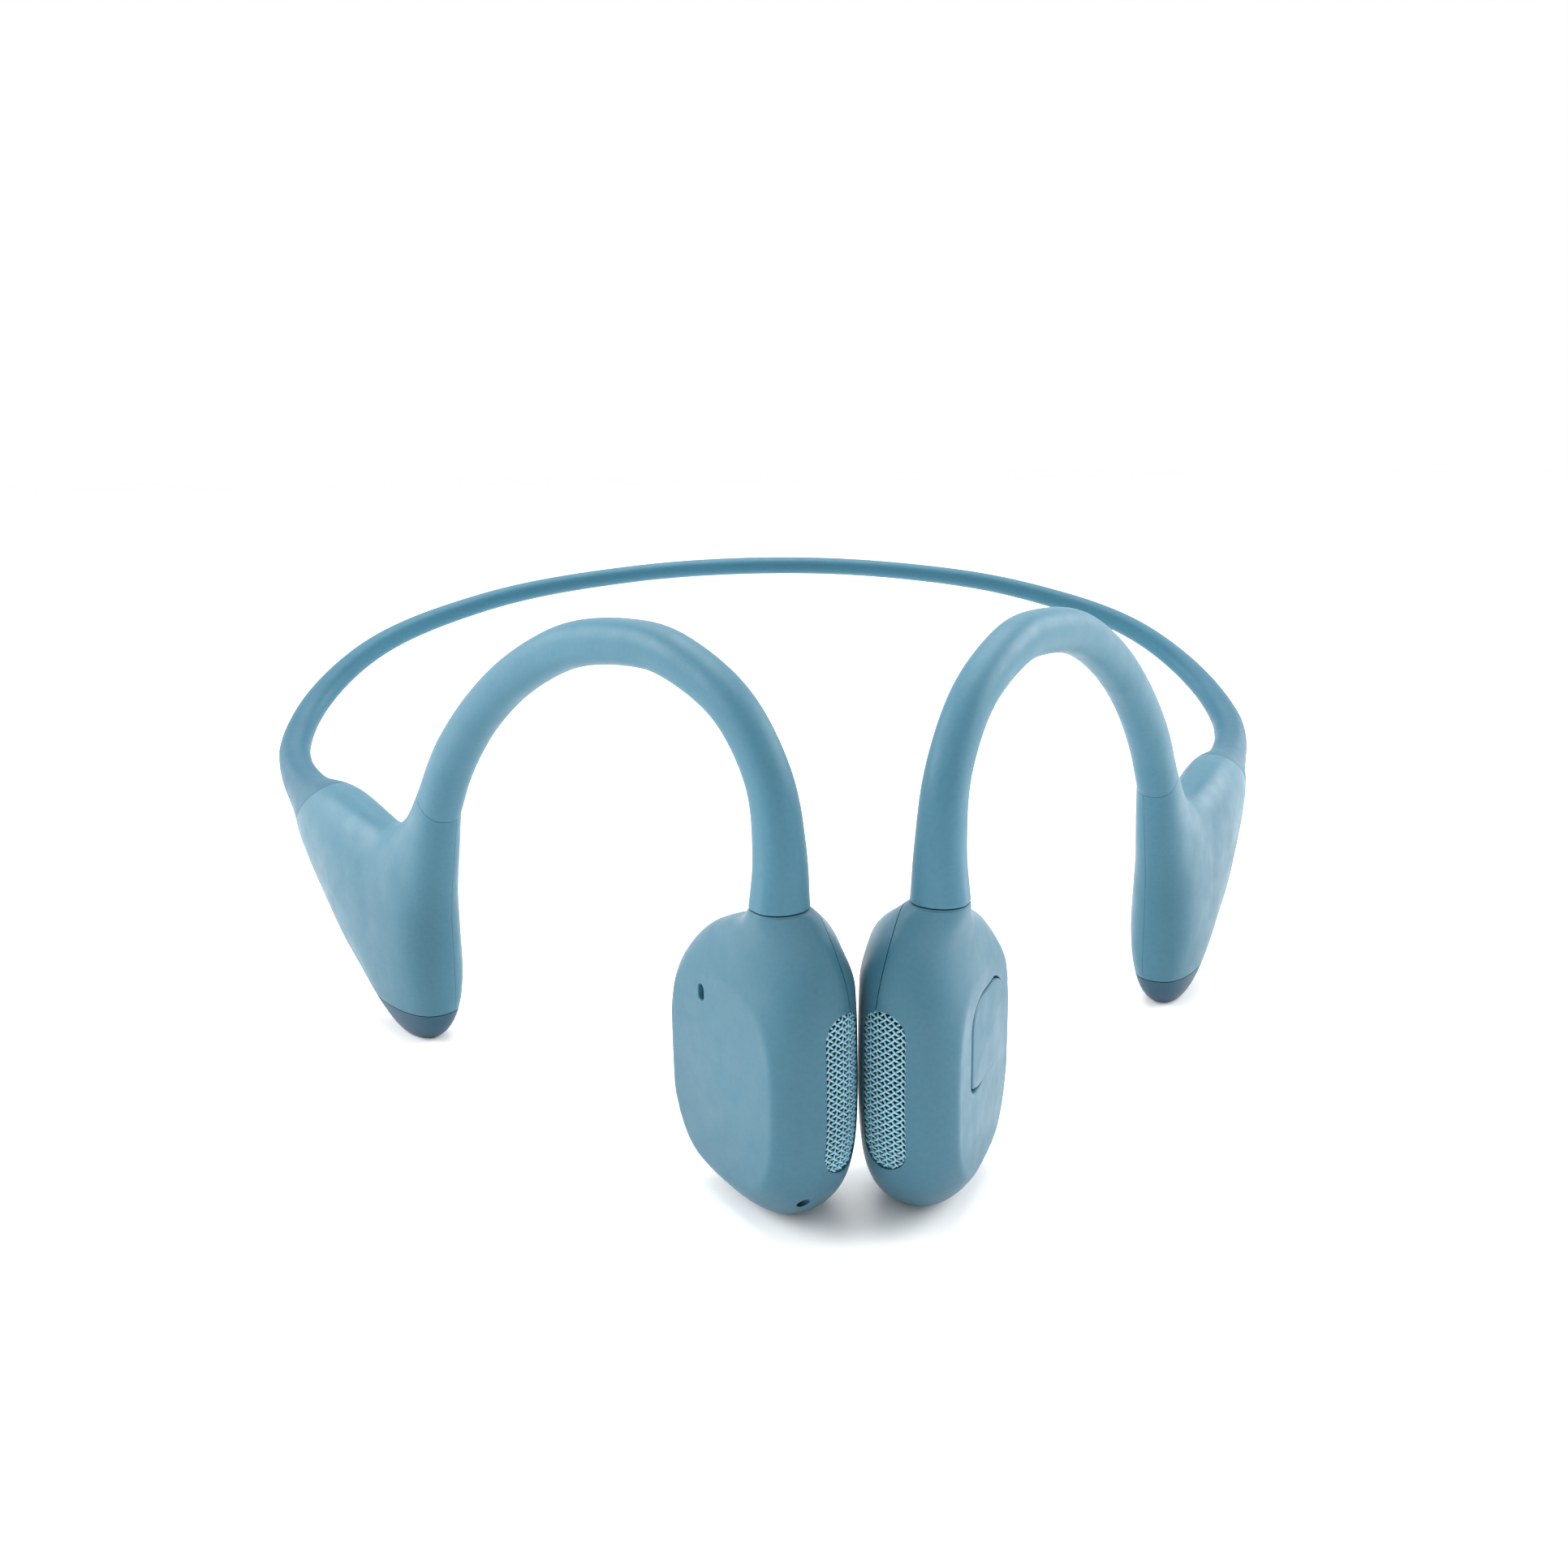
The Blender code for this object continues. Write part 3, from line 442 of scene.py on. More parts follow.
def make_finishes():
    return {
        "shell": soft_touch("shell_finish", SHELL_BLUE, 0.46, sheen=0.05),
        "silicone": soft_touch("silicone_finish", SILICONE_BLUE, 0.50, sheen=0.06, specks=True),
        # The band's colour pales upward from the pods: partly a deeper tone and partly painted shade low
        # down.
        "band": soft_touch(
            "band_finish", BAND_BLUES_WITH_PAINTED_SHADE[0], 0.52, sheen=0.06, above=(BAND_BLUES_WITH_PAINTED_SHADE[1], 0.025, 0.036)
        ),
        "pod_shell": soft_touch(
            "pod_shell_finish", SHELL_BLUE, 0.46, sheen=0.05, above=(SILICONE_BLUE, 0.014, 0.026)
        ),
        "foot": soft_touch("foot_finish", (0.0135, 0.058, 0.098), 0.60, sheen=0.10),
        "grille": metal("grille_finish", (0.240, 0.480, 0.580), 0.38, metallic=0.0),
        "steel": metal("steel_finish", (0.56, 0.57, 0.59), 0.34),
        "spring_wire": metal("spring_wire_finish", (0.44, 0.45, 0.47), 0.30),
        "magnet": metal("magnet_finish", (0.62, 0.62, 0.60), 0.22, scratches=60),
        "copper": wound_copper("copper_finish"),
        "cable": soft_touch("cable_finish", BLACK, 0.55),
        "board": circuit_board("board_finish"),
        "cell": metal("cell_finish", (0.45, 0.47, 0.50), 0.42, scratches=40, metallic=0.7),
        "dark_plastic": soft_touch("dark_plastic_finish", BLACK, 0.48),
        "cloth": acoustic_cloth("cloth_finish"),
        # The floor is 0.93 near the object as painted shade, and 1.0 further off.
        "floor": studio_white("studio_floor", 0.93, 1.0, 0.8),
    }


FINISHES = make_finishes()


# Places

def placed(points, side):
    """Points from working millimetres to the frame's metres."""
    points = np.asarray(points, float)
    return np.stack([side * points[..., 0], points[..., 1] - Y_ORIGIN, points[..., 2]], axis=-1) * MM


def in_housing(along, across, up):
    """Points of the left housing: forward along it, outward across it, and up."""
    c, s = math.cos(HOUSING_TURN), math.sin(HOUSING_TURN)
    along, across, up = np.broadcast_arrays(along, across, np.asarray(up, float))
    x = HOUSING_CENTRE[0] - s * along + c * across
    y = HOUSING_CENTRE[1] - c * along - s * across
    return np.stack([x, y, up], axis=-1)


def in_pod(along, across, up):
    """Points of the left pod: backward along it, outward across it, and up."""
    c, s = math.cos(POD_TURN), math.sin(POD_TURN)
    along, across, up = np.broadcast_arrays(along, across, np.asarray(up, float))
    x = POD_START[0] + c * along + s * across
    y = POD_START[1] + s * along - c * across
    return np.stack([x, y, up], axis=-1)


def under_pod(shift, across, depth, centre):
    """A point of something set in the pod's sloping underside, depth counted into the pod."""
    c, s = math.cos(KEY_DIRECTION), math.sin(KEY_DIRECTION)
    return in_pod(centre[0] + c * shift - s * depth, across, centre[1] + s * shift + c * depth)


# Curves and outlines

def smooth(stations, steps, passes=3):
    """Rows on a curve through the stations, eased so that its bend changes gently."""
    rows = np.array(stations, float)
    rows = np.vstack([2 * rows[0] - rows[1], rows, 2 * rows[-1] - rows[-2]])
    points = []
    for a, b, c, d in zip(rows, rows[1:], rows[2:], rows[3:]):
        for f in np.arange(steps) / steps:
            bend = (2 * a - 5 * b + 4 * c - d) * f**2 + (3 * b - a - 3 * c + d) * f**3
            points.append(0.5 * (2 * b + (c - a) * f + bend))
    points.append(rows[-2])
    return eased(points, passes)


def spline(stations, steps):
    """Rows on a curve through unevenly spaced stations, whose slopes allow for the spacing."""
    rows = np.array(stations, float)
    gaps = np.linalg.norm(np.diff(rows[:, :3], axis=0), axis=1)[:, None]
    slopes = np.diff(rows, axis=0) / gaps
    between = (slopes[:-1] * gaps[1:] + slopes[1:] * gaps[:-1]) / (gaps[:-1] + gaps[1:])
    slopes = np.vstack([slopes[:1], between, slopes[-1:]])
    points = []
    for a, b, start, end, gap in zip(rows, rows[1:], slopes, slopes[1:], gaps):
        for f in np.arange(steps) / steps:
            lean = start * f * (1 - f) ** 2 - end * f**2 * (1 - f)
            points.append(a * (1 + 2 * f) * (1 - f) ** 2 + b * f**2 * (3 - 2 * f) + gap * lean)
    points.append(rows[-1])
    return np.array(points)


def eased(rows, passes):
    """The rows with their bends evened out, and their ends where they were."""
    rows = np.array(rows)
    for _ in range(passes):
        rows[1:-1] = (rows[:-2] + 2 * rows[1:-1] + rows[2:]) / 4
    return rows


def unit(vectors):
    return vectors / np.linalg.norm(vectors, axis=-1, keepdims=True)


def arc_lengths(points):
    return np.concatenate([[0.0], np.cumsum(np.linalg.norm(np.diff(points, axis=0), axis=1))])


def resampled(rows, count, columns=3):
    """Rows at equal distances along the curve that their first columns draw."""
    at = arc_lengths(rows[:, :columns])
    wanted = np.linspace(0, at[-1], count)
    return np.array([np.interp(wanted, at, column) for column in rows.T]).T


def evened(ring, count):
    """A closed ring of points at equal distances, from the same first point."""
    closed = np.vstack([ring, ring[:1]])
    return resampled(closed, count + 1, ring.shape[1])[:-1]


def around(count, start=0.0):
    """Cosines and sines of the angles at the points round an outline, before it is evened."""
    angles = 2 * np.pi * (np.arange(OVERSAMPLE * count) + start) / (OVERSAMPLE * count)
    return np.cos(angles), np.sin(angles)


def superellipse(half, power, count):
    """An oval round the origin, boxier the higher its power."""
    c, s = around(count)
    a = np.sign(c) * np.abs(c) ** (2 / power) * half[0]
    b = np.sign(s) * np.abs(s) ** (2 / power) * half[1]
    return evened(np.stack([a, b], axis=1), count)


def oval(centre, half, power=2.0):
    return superellipse(half, power, 64) + np.array(centre)


def stadium(centre, half, count=72):
    """A round-ended outline, longer along whichever half size is larger."""
    radius = min(half)
    c, s = around(count, 0.5)
    a = radius * c + np.sign(c) * (half[0] - radius)
    b = radius * s + np.sign(s) * (half[1] - radius)
    return evened(np.stack([a, b], axis=1), count) + np.array(centre)


def grown(outline, by):
    """The outline moved outward by a distance, square to itself."""
    ahead, behind = np.roll(outline, -1, axis=0), np.roll(outline, 1, axis=0)
    run = ahead - behind
    return outline + by * unit(np.stack([run[:, 1], -run[:, 0]], axis=1))


def smoothstep(value, start, end):
    t = np.clip((value - start) / (end - start), 0, 1)
    return t * t * (3 - 2 * t)


def rectangle(first, second):
    """The corners of a rectangle that spans two ranges."""
    corners = ((0, 0), (1, 0), (1, 1), (0, 1))
    return np.array([(first[i], second[j]) for i, j in corners])


def soft_min(a, b, reach):
    """The lower of two values, with the corner between them rounded over."""
    h = np.maximum(reach - np.abs(a - b), 0) / reach
    return np.minimum(a, b) - h * h * reach / 4


# Meshes

def add_tube(mesh, rings, side, closed=False):
    """Adds a surface through rings of points, capped at both ends or joined end to end."""
    levels, count = rings.shape[:2]
    verts = [mesh.verts.new(point) for point in placed(rings, side).reshape(-1, 3)]
    for i in range(levels if closed else levels - 1):
        low, high = i * count, (i + 1) % levels * count
        for j in range(count):
            k = (j + 1) % count
            mesh.faces.new((verts[low + j], verts[low + k], verts[high + k], verts[high + j]))
    if not closed:
        mesh.faces.new(verts[:count])
        mesh.faces.new(verts[-count:])


def skinned(name, rings, finish, side, sharp=SHARP):
    """An object with a closed surface through rings of points."""
    mesh = bmesh.new()
    add_tube(mesh, np.array(rings), side)
    return meshed(name, mesh, finish, sharp)


def meshed(name, mesh, finish, sharp=SHARP):
    bmesh.ops.recalc_face_normals(mesh, faces=mesh.faces[:])
    data = bpy.data.meshes.new(name)
    mesh.to_mesh(data)
    mesh.free()
    data.materials.append(FINISHES[finish])
    data.shade_smooth()
    data.set_sharp_from_angle(angle=math.radians(sharp))
    made = bpy.data.objects.new(name, data)
    bpy.context.scene.collection.objects.link(made)
    return made


def carve(target, cutters):
    """Takes each cutter away from the target for good, and deletes it."""
    for cutter in cutters:
        modifier = target.modifiers.new(cutter.name, "BOOLEAN")
        modifier.operation = "DIFFERENCE"
        modifier.solver = "MANIFOLD"
        modifier.object = cutter
    bpy.context.view_layer.update()
    graph = bpy.context.evaluated_depsgraph_get()
    before = target.data
    target.data = bpy.data.meshes.new_from_object(target.evaluated_get(graph))
    target.modifiers.clear()
    bpy.data.meshes.remove(before)
    target.data.shade_smooth()
    target.data.set_sharp_from_angle(angle=math.radians(SHARP))
    for cutter in cutters:
        bpy.data.objects.remove(cutter, do_unlink=True)


def shown(piece, body, slot, *nodes):
    """The piece rides on a body and stands for CAD nodes; the slot is not used."""
    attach(piece, body)
    if nodes:
        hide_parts(*nodes)


def rounding(turns):
    """How far in and how far back, as shares of a rounded edge's radius, at each step round it."""
    for turn in turns:
        angle = turn * math.pi / 2
        yield 1 - math.cos(angle), 1 - math.sin(angle)


# Tubes: the band and the ear hooks

def tube_rings(rows, guide):
    """Sections square to a path, the first half size along the guide and the second square to it."""
    centres = rows[:, :3]
    shape = superellipse((1, 1), TUBE_POWER, TUBE_SIDES)
    rings = []
    for row, centre, tangent in zip(rows, centres, unit(np.gradient(centres, axis=0))):
        first = unit(guide - tangent * (guide @ tangent))
        second = np.cross(first, tangent)
        up, aside = np.outer(shape[:, 0] * row[3], first), np.outer(shape[:, 1] * row[4], second)
        rings.append(centre + up + aside)
    return np.array(rings)


def matched(ring, to):
    """The ring with its points in the order of another one."""
    orders = [ring, np.roll(ring[::-1], 1, axis=0)]
    turned = [np.roll(order, -k, axis=0) for order in orders for k in range(len(ring))]
    return min(turned, key=lambda points: np.linalg.norm(points - to))


def eased_to(rings, target, reach):
    """The last rings drawn over to a target ring, so that the tube meets its neighbour's edge."""
    at = arc_lengths(rings.mean(axis=1))
    weight = smoothstep(at, at[-1] - reach, at[-1])
    return rings + weight[:, None, None] * (matched(target, rings[-1]) - rings[-1])


def running(rings):
    """The direction in which the last rings run."""
    return unit(rings[-1].mean(axis=0) - rings[-2].mean(axis=0))


def drawn_back(rings, gap):
    """The last ring moved back by a gap."""
    return np.concatenate([rings[:-1], [rings[-1] - running(rings) * gap]])


def rounded_end(rings, radius):
    """The last ring's edge rounded over."""
    run = running(rings)
    centre = rings[-1].mean(axis=0)
    out = rings[-1] - centre
    reach = np.linalg.norm(out, axis=1, keepdims=True)
    steps = []
    for inward, back in rounding(ROUND_END):
        steps.append(centre + out * (1 - radius * inward / reach) - run * radius * back)
    return np.concatenate([rings[:-1], steps])


def band_half(label, side):
    """Half of the neckband's sleeve, flared over the pod's end."""
    stations = [(-x, *rest) for x, *rest in BAND[:0:-1]] + list(BAND)
    path = eased(resampled(spline(stations, 12), 2 * BAND_RINGS + 1), BAND_EASING)
    rings = tube_rings(path, UP)[BAND_RINGS:]
    rings[0, :, 0] = 0
    over_pod = [pod_section(row, 0, TUBE_SIDES) for row in pod_rows()[::-1][:BAND_OVER_POD]]
    rings = eased_to(rings, over_pod[0], BAND_REACH)
    turned = [rings[-1]]
    for ring in over_pod[1:]:
        turned.append(matched(ring, turned[-1]))
    near_join = slice(len(rings) - JOIN_RINGS[0], len(rings) + JOIN_RINGS[1])
    rings = np.concatenate([rings, turned[1:]])
    rings[near_join] = eased(rings[near_join], JOIN_EASING)
    piece = skinned(f"{label}_band_skin", rings, "band", side)
    cut = band_edge(f"{label}_band_cut", side, 0.0, -BAND_EDGE_LENGTH)
    carve(piece, [cut, pod_hollow(f"{label}_band_hollow", side)])
    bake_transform(piece)
    nodes = [f"{label}_band_sleeve"]
    if label == "left":
        nodes.append("neckband_sleeve")
    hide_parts(*nodes)


def band_edge(name, side, start, end):
    """The pod's space between two distances behind the slanting edge where the band's sleeve starts."""
    top, bottom = np.array(BAND_EDGE[0:2]), np.array(BAND_EDGE[2:4])
    down = unit(bottom - top)
    back = np.array((-down[1], down[0]))
    high, low = top - BAND_EDGE_PAST * down, bottom + BAND_EDGE_PAST * down
    corners = np.array([high + start * back, low + start * back, low + end * back, high + end * back])
    rings = [in_pod(corners[:, 0], across, corners[:, 1]) for across in BAND_EDGE_ACROSS]
    return skinned(name, rings, "shell", side)


def hook_skin(label, side):
    """The ear hook's sleeve, from the housing's neck over the ear to the pod."""
    c, s = math.cos(HOOK_TURN), math.sin(HOOK_TURN)
    rows = [(HOOK_START[0] + c * w, HOOK_START[1] + s * w, z, thick, wide) for w, z, wide, thick in HOOK]
    rings = tube_rings(resampled(smooth(rows, 10), HOOK_RINGS), np.array([s, -c, 0.0]))
    rings = eased_to(rings, pod_section(pod_rows()[0], 0, TUBE_SIDES), HOOK_REACH[0])
    rings = drawn_back(rings, HAIRLINE)[::-1]
    neck = housing_section(housing_rows()[-1], 0, TUBE_SIDES)
    neck[:, 2] += SEAM
    rings = rounded_end(eased_to(rings, neck, HOOK_REACH[1]), HOOK_EDGE)
    piece = skinned(f"{label}_ear_hook_skin", rings, "silicone", side, SHARP_EDGED)
    shown(piece, f"{label}_arm", "silicone", f"{label}_hook_sleeve")


# Housing

def housing_rows():
    return smooth(HOUSING, 9, 4)


def housing_shape(row, count):
    """Along and across of one level's outline, from its front point round over the outer side."""
    z, rear, front, inner, outer = row
    middle, half = (rear + front) / 2, (front - rear) / 2
    base = (inner + outer) / 2 * smoothstep(z, *MIDDLE_RISE)
    c, s = around(count)
    at_neck = smoothstep(z, *NECK_RISE)
    at_rear = smoothstep(-c, *OUTER_REAR)
    outer_power = OUTER_POWER[0] * (1 - at_rear) + OUTER_POWER[1] * at_rear
    power = np.where(s > 0, outer_power, INNER_POWER) * (1 - at_neck) + NECK_POWER * at_neck
    valley = smoothstep(z, *VALLEY[:2]) * (1 - smoothstep(z, *VALLEY[2:])) * smoothstep(c, *VALLEY_FRONT)
    power = power - VALLEY_POWER * valley * (s < 0)
    reach = np.where(s > 0, outer - base, base - inner)
    along = middle + half * np.sign(c) * np.abs(c) ** (2 / power)
    across = base + reach * np.sign(s) * np.abs(s) ** (2 / power)
    return along, across


def housing_section(row, inset, count=150):
    """One level of the housing's surface, with its two flats, at equal distances round it."""
    z, rear, front, inner, outer = row
    row = (z, rear + inset, front - inset, inner + inset, outer - inset)
    along, across = housing_shape(row, count)
    across = soft_min(across, FACET - inset, FACET_EDGE)
    across = -soft_min(-across, -(CONTACT_FACE + inset), CONTACT_EDGE)
    outline = evened(np.stack([along, across], axis=1), count)
    return in_housing(outline[:, 0], outline[:, 1], z)


def front_surface(across, up, inset):
    """The housing's front at a place across and up it."""
    rows = housing_rows()
    rear, front, inner, outer = (np.interp(up, rows[:, 0], rows[:, i]) for i in (1, 2, 3, 4))
    power = np.where(across > 0, OUTER_POWER[0], INNER_POWER)
    reach = np.where(across > 0, outer, -inner) - inset
    half = (front - rear) / 2 - inset
    rise = np.maximum(1 - (np.abs(across) / reach) ** power, 0.0) ** (1 / power)
    return in_housing((rear + front) / 2 + half * rise, across, up)


def across_housing(outline, *levels):
    """Rings of an outline seen from the side, at distances across the housing."""
    return [in_housing(outline[:, 0], level, outline[:, 1]) for level in levels]


def along_housing(outline, *levels):
    """Rings of an outline seen from the front, at distances along the housing."""
    return [in_housing(level, outline[:, 0], outline[:, 1]) for level in levels]


def housing_hollow(name, side):
    """The housing's inside, with the wires' way up through the neck."""
    inside = [row for row in HOUSING if HOLLOW_HEIGHTS[0] < row[0] < HOLLOW_HEIGHTS[1]]
    rows = smooth([(WALL + 0.1, *inside[0][1:]), *inside[1:]], 3)
    rings = [housing_section(row, WALL, HOLLOW_SIDES) for row in rows]
    neck = oval(NECK, (NECK_BORE, NECK_BORE))
    for level in NECK_BORE_HEIGHTS:
        rings.append(in_housing(neck[:, 0], neck[:, 1], level))
    return skinned(name, rings, "shell", side)


def seam_side(name, side, low, high):
    """The part of the housing's space between two distances from the cover's seam."""
    start, slope = COVER_SEAM
    rings = []
    for z in HOUSING_HEIGHTS:
        seam = start + slope * z
        corners = rectangle(HOUSING_ALONG, (seam + low, seam + high))
        rings.append(in_housing(corners[:, 0], corners[:, 1], z))
    return skinned(name, rings, "shell", side)


def housing_body(name, side):
    rings = np.array([housing_section(row, 0) for row in housing_rows()])
    return skinned(name, rounded_end(rings, NECK_EDGE), "shell", side)


def button_outline(by=0.0):
    """The button's outline moved outward by a distance, which fades towards the rear."""
    along, up, half_along, half_up = BUTTON
    points = []
    for index, (front, top, wide, high) in enumerate(BUTTON_CORNERS):
        turns = (index + np.linspace(0, 1, 60)) * math.pi / 2
        a = front * (half_along - wide) + wide * np.cos(turns)
        b = top * (half_up - high) + high * np.sin(turns)
        points.append(np.stack([a, b], axis=1))
    outline = evened(np.concatenate(points), BUTTON_SIDES)
    above, below, length = (share * half_along for share in BUTTON_FADE)
    start = np.where(outline[:, 1] > 0, above, below)
    share = BUTTON_REAR_GAP + (1 - BUTTON_REAR_GAP) * smoothstep(outline[:, 0], start, start + length)
    moved = outline + share[:, None] * (grown(outline, 1.0) - outline) * by
    return moved + np.array((along, up))


def slit_outline(by):
    return grown(stadium(FACET_SLIT[:2], FACET_SLIT[2:]), by)


def lipped_cut(name, outline_at, gap, lip, side):
    """A cutter for a hole through the facet whose mouth is rounded over by a lip."""
    rings = across_housing(outline_at(gap), FACET - FACET_CUT)
    for out, down in rounding(ROUND_LIP):
        rings += across_housing(outline_at(gap + lip * out), FACET - lip * down)
    rings += across_housing(outline_at(gap + lip), FACET + FACET_CUT)
    return skinned(name, rings, "shell", side)


def housing(label, side):
    """The housing's outer shell and inner cover, with the openings that each side's parts need."""
    outer = housing_body(f"{label}_housing_outer_skin", side)
    inner = housing_body(f"{label}_housing_inner_skin", side)
    window = grown(stadium(GRILLE[:2], GRILLE[2:]), GRILLE_GAP)
    cutters = {}
    for key in ("outer", "inner"):
        cutters[key] = [
            housing_hollow(f"{label}_{key}_hollow", side),
            skinned(f"{label}_{key}_window", along_housing(window, *GRILLE_ALONG), "shell", side),
        ]
    cutters["outer"].append(seam_side(f"{label}_cut_inner_side", side, HOUSING_ACROSS[0], SEAM / 2))
    cutters["inner"].append(seam_side(f"{label}_cut_outer_side", side, -SEAM / 2, HOUSING_ACROSS[1]))
    if label == "left":
        cutters["outer"].append(lipped_cut("button_mouth", button_outline, BUTTON_GAP, BUTTON_LIP, side))
    else:
        cutters["outer"].append(lipped_cut("facet_slit", slit_outline, 0.0, SLIT_LIP, side))
        hole = along_housing(oval(LOWER_HOLE[:2], LOWER_HOLE[2:]), *LOWER_HOLE_ALONG)
        cutters["outer"].append(skinned("lower_hole", hole, "shell", side))
    recess = across_housing(pad_outline(-PAD_GAP), *PAD_RECESS)
    cutters["inner"].append(skinned(f"{label}_pad_recess", recess, "shell", side))
    carve(outer, cutters["outer"])
    carve(inner, cutters["inner"])
    shown(outer, f"{label}_arm", "shell", f"{label}_housing_shell")
    shown(inner, f"{label}_arm", "shell", f"{label}_housing_cover")


def pad_outline(margin):
    return oval(PAD[:2], (PAD[2] - margin, PAD[3] - margin), PAD_POWER)


def contact_pad(label, side):
    """The soft skin on the cheek side, with a rounded edge."""
    rings = []
    for margin, level in PAD_EDGE:
        rings += across_housing(pad_outline(margin), level)
    piece = skinned(f"{label}_contact_skin", rings, "silicone", side, SHARP_EDGED)
    shown(piece, f"{label}_arm", "silicone", f"{label}_contact_pad")


# Wire mesh

def inside_grille(across, up, margin):
    """Whether places counted from the grille's middle are inside its outline by a margin."""
    _, _, half, height = GRILLE
    past = np.maximum(np.abs(up) - (height - half), 0)
    return np.hypot(across, past) < half - margin


def surface_frame(across, up, inset):
    """Points of the front surface, counted from the grille's middle, and its outward normals."""
    across, up, step = across + GRILLE[0], up + GRILLE[1], 0.05
    sideways = front_surface(across + step, up, inset) - front_surface(across - step, up, inset)
    upward = front_surface(across, up + step, inset) - front_surface(across, up - step, inset)
    normals = unit(np.cross(upward, sideways))
    ahead = in_housing(1.0, 0.0, 0.0) - in_housing(0.0, 0.0, 0.0)
    return front_surface(across, up, inset), normals * np.sign(normals @ ahead)[:, None]


def wire_rings(points, first, second, radius, count):
    """Round sections in the planes of two directions at each point."""
    angles = 2 * np.pi * np.arange(count) / count
    out = np.cos(angles)[:, None, None] * first + np.sin(angles)[:, None, None] * second
    return (points + radius * out).transpose(1, 0, 2)


def wire(family, index):
    """One wire of the weave, or none where it would be too short."""
    _, _, half, _ = GRILLE
    across_pitch, up_pitch = MESH_PITCH
    across = np.linspace(-half, half, MESH_SAMPLES)
    up = family * up_pitch * (across / across_pitch - 2 * index)
    keep = inside_grille(across, up, MESH_MARGIN)
    if keep.sum() < MESH_SHORTEST:
        return None
    across, up = across[keep], up[keep]
    count = max(int((across[-1] - across[0]) / MESH_STEP), 3)
    picked = np.linspace(0, len(across) - 1, count).round().astype(int)
    across, up = across[picked], up[picked]
    along_line = (across / across_pitch + family * up / up_pitch) / 2
    wave = family * MESH_WIRE * np.cos(np.pi * (along_line + index))
    points, normals = surface_frame(across, up, MESH_INSET)
    points = points + normals * wave[:, None]
    tangents = unit(np.gradient(points, axis=0))
    second = unit(np.cross(tangents, normals))
    return wire_rings(points, np.cross(second, tangents), second, MESH_WIRE, 6)


def wire_mesh(label, side):
    """Two families of wires woven over and under each other, held in a rim."""
    _, _, half, height = GRILLE
    lines = int((half / MESH_PITCH[0] + height / MESH_PITCH[1]) / 2) + 1
    mesh = bmesh.new()
    for family in (1, -1):
        for index in range(-lines, lines + 1):
            rings = wire(family, index)
            if rings is not None:
                add_tube(mesh, rings, side)
    rim = stadium((0, 0), (half - RIM_MARGIN, height - RIM_MARGIN), 120)
    points, normals = surface_frame(rim[:, 0], rim[:, 1], RIM_INSET)
    tangents = unit(np.roll(points, -1, axis=0) - np.roll(points, 1, axis=0))
    rings = wire_rings(points, normals, np.cross(tangents, normals), RIM_WIRE, 10)
    add_tube(mesh, rings, side, closed=True)
    piece = meshed(f"{label}_grille_weave", mesh, "grille", SHARP_WOVEN)
    shown(piece, f"{label}_arm", "grille", f"{label}_speaker_grille")


def grille_cloth(label, side):
    """The dark cloth behind the wires, a thin plate that follows the housing's front."""
    middle, centre, half, height = GRILLE
    rings = []
    for inset, margins in CLOTH:
        for margin in margins:
            outline = stadium((middle, centre), (half - margin, height - margin))
            rings.append(front_surface(outline[:, 0], outline[:, 1], inset))
    piece = skinned(f"{label}_grille_cloth", rings, "cloth", side, SHARP_WOVEN)
    shown(piece, f"{label}_arm", "dark_plastic")


# Pod

def pod_rows():
    return smooth(POD, 7, 3)


def pod_section(row, inset, count=110):
    """One section of the pod, an oval from its upper to its lower end."""
    upper, lower = np.array(row[0:2]), np.array(row[2:4])
    middle, reach = (upper + lower) / 2, (upper - lower) / 2
    length = np.linalg.norm(reach)
    across, half = (row[4] + row[5]) / 2, (row[5] - row[4]) / 2
    size = (length, half)
    if inset:
        size = (max(length - inset, CHANNEL[0]), max(half - inset, CHANNEL[1]))
    shape = superellipse(size, POD_POWER, count)
    along = middle[0] + reach[0] / length * shape[:, 0]
    up = middle[1] + reach[1] / length * shape[:, 0]
    return in_pod(along, across + shape[:, 1], up)


def pod_hollow(name, side):
    """The pod's inside, which narrows at both ends to the wires' channel."""
    rows = np.array(POD)
    before = rows[0] + 0.3 * (rows[0] - rows[1])
    after = rows[-1] + 0.3 * (rows[-1] - rows[-2])
    sections = [(before, NARROW), (rows[1], NARROW)]
    sections += [(row, WALL) for row in rows[2:-2]]
    sections += [(rows[-2], NARROW), (after, NARROW)]
    rings = [pod_section(row, inset, POD_HOLLOW_SIDES) for row, inset in sections]
    return skinned(name, rings, "shell", side)


def pod_slab(name, side, levels, heights):
    """The pod's space between two distances across it and two heights."""
    corners = rectangle(POD_ALONG, heights)
    rings = [in_pod(corners[:, 0], level, corners[:, 1]) for level in levels]
    return skinned(name, rings, "shell", side)


def below_pod(outline, centre, *levels):
    """Rings of an outline on the pod's underside, at depths into the pod."""
    return [under_pod(outline[:, 0], outline[:, 1], level, centre) for level in levels]


def pod_cuts(key, side, levels):
    """Cutters for one of the pod's two covers, which leave it hollow and take away the other one's side."""
    return [
        pod_hollow(f"{key}_hollow", side),
        pod_slab(f"{key}_slab", side, levels, POD_HEIGHTS),
        pod_slab(f"{key}_below", side, POD_ACROSS, (POD_HEIGHTS[0], FOOT_TOP + HAIRLINE)),
        band_edge(f"{key}_edge", side, -HAIRLINE, BAND_EDGE_LENGTH),
    ]


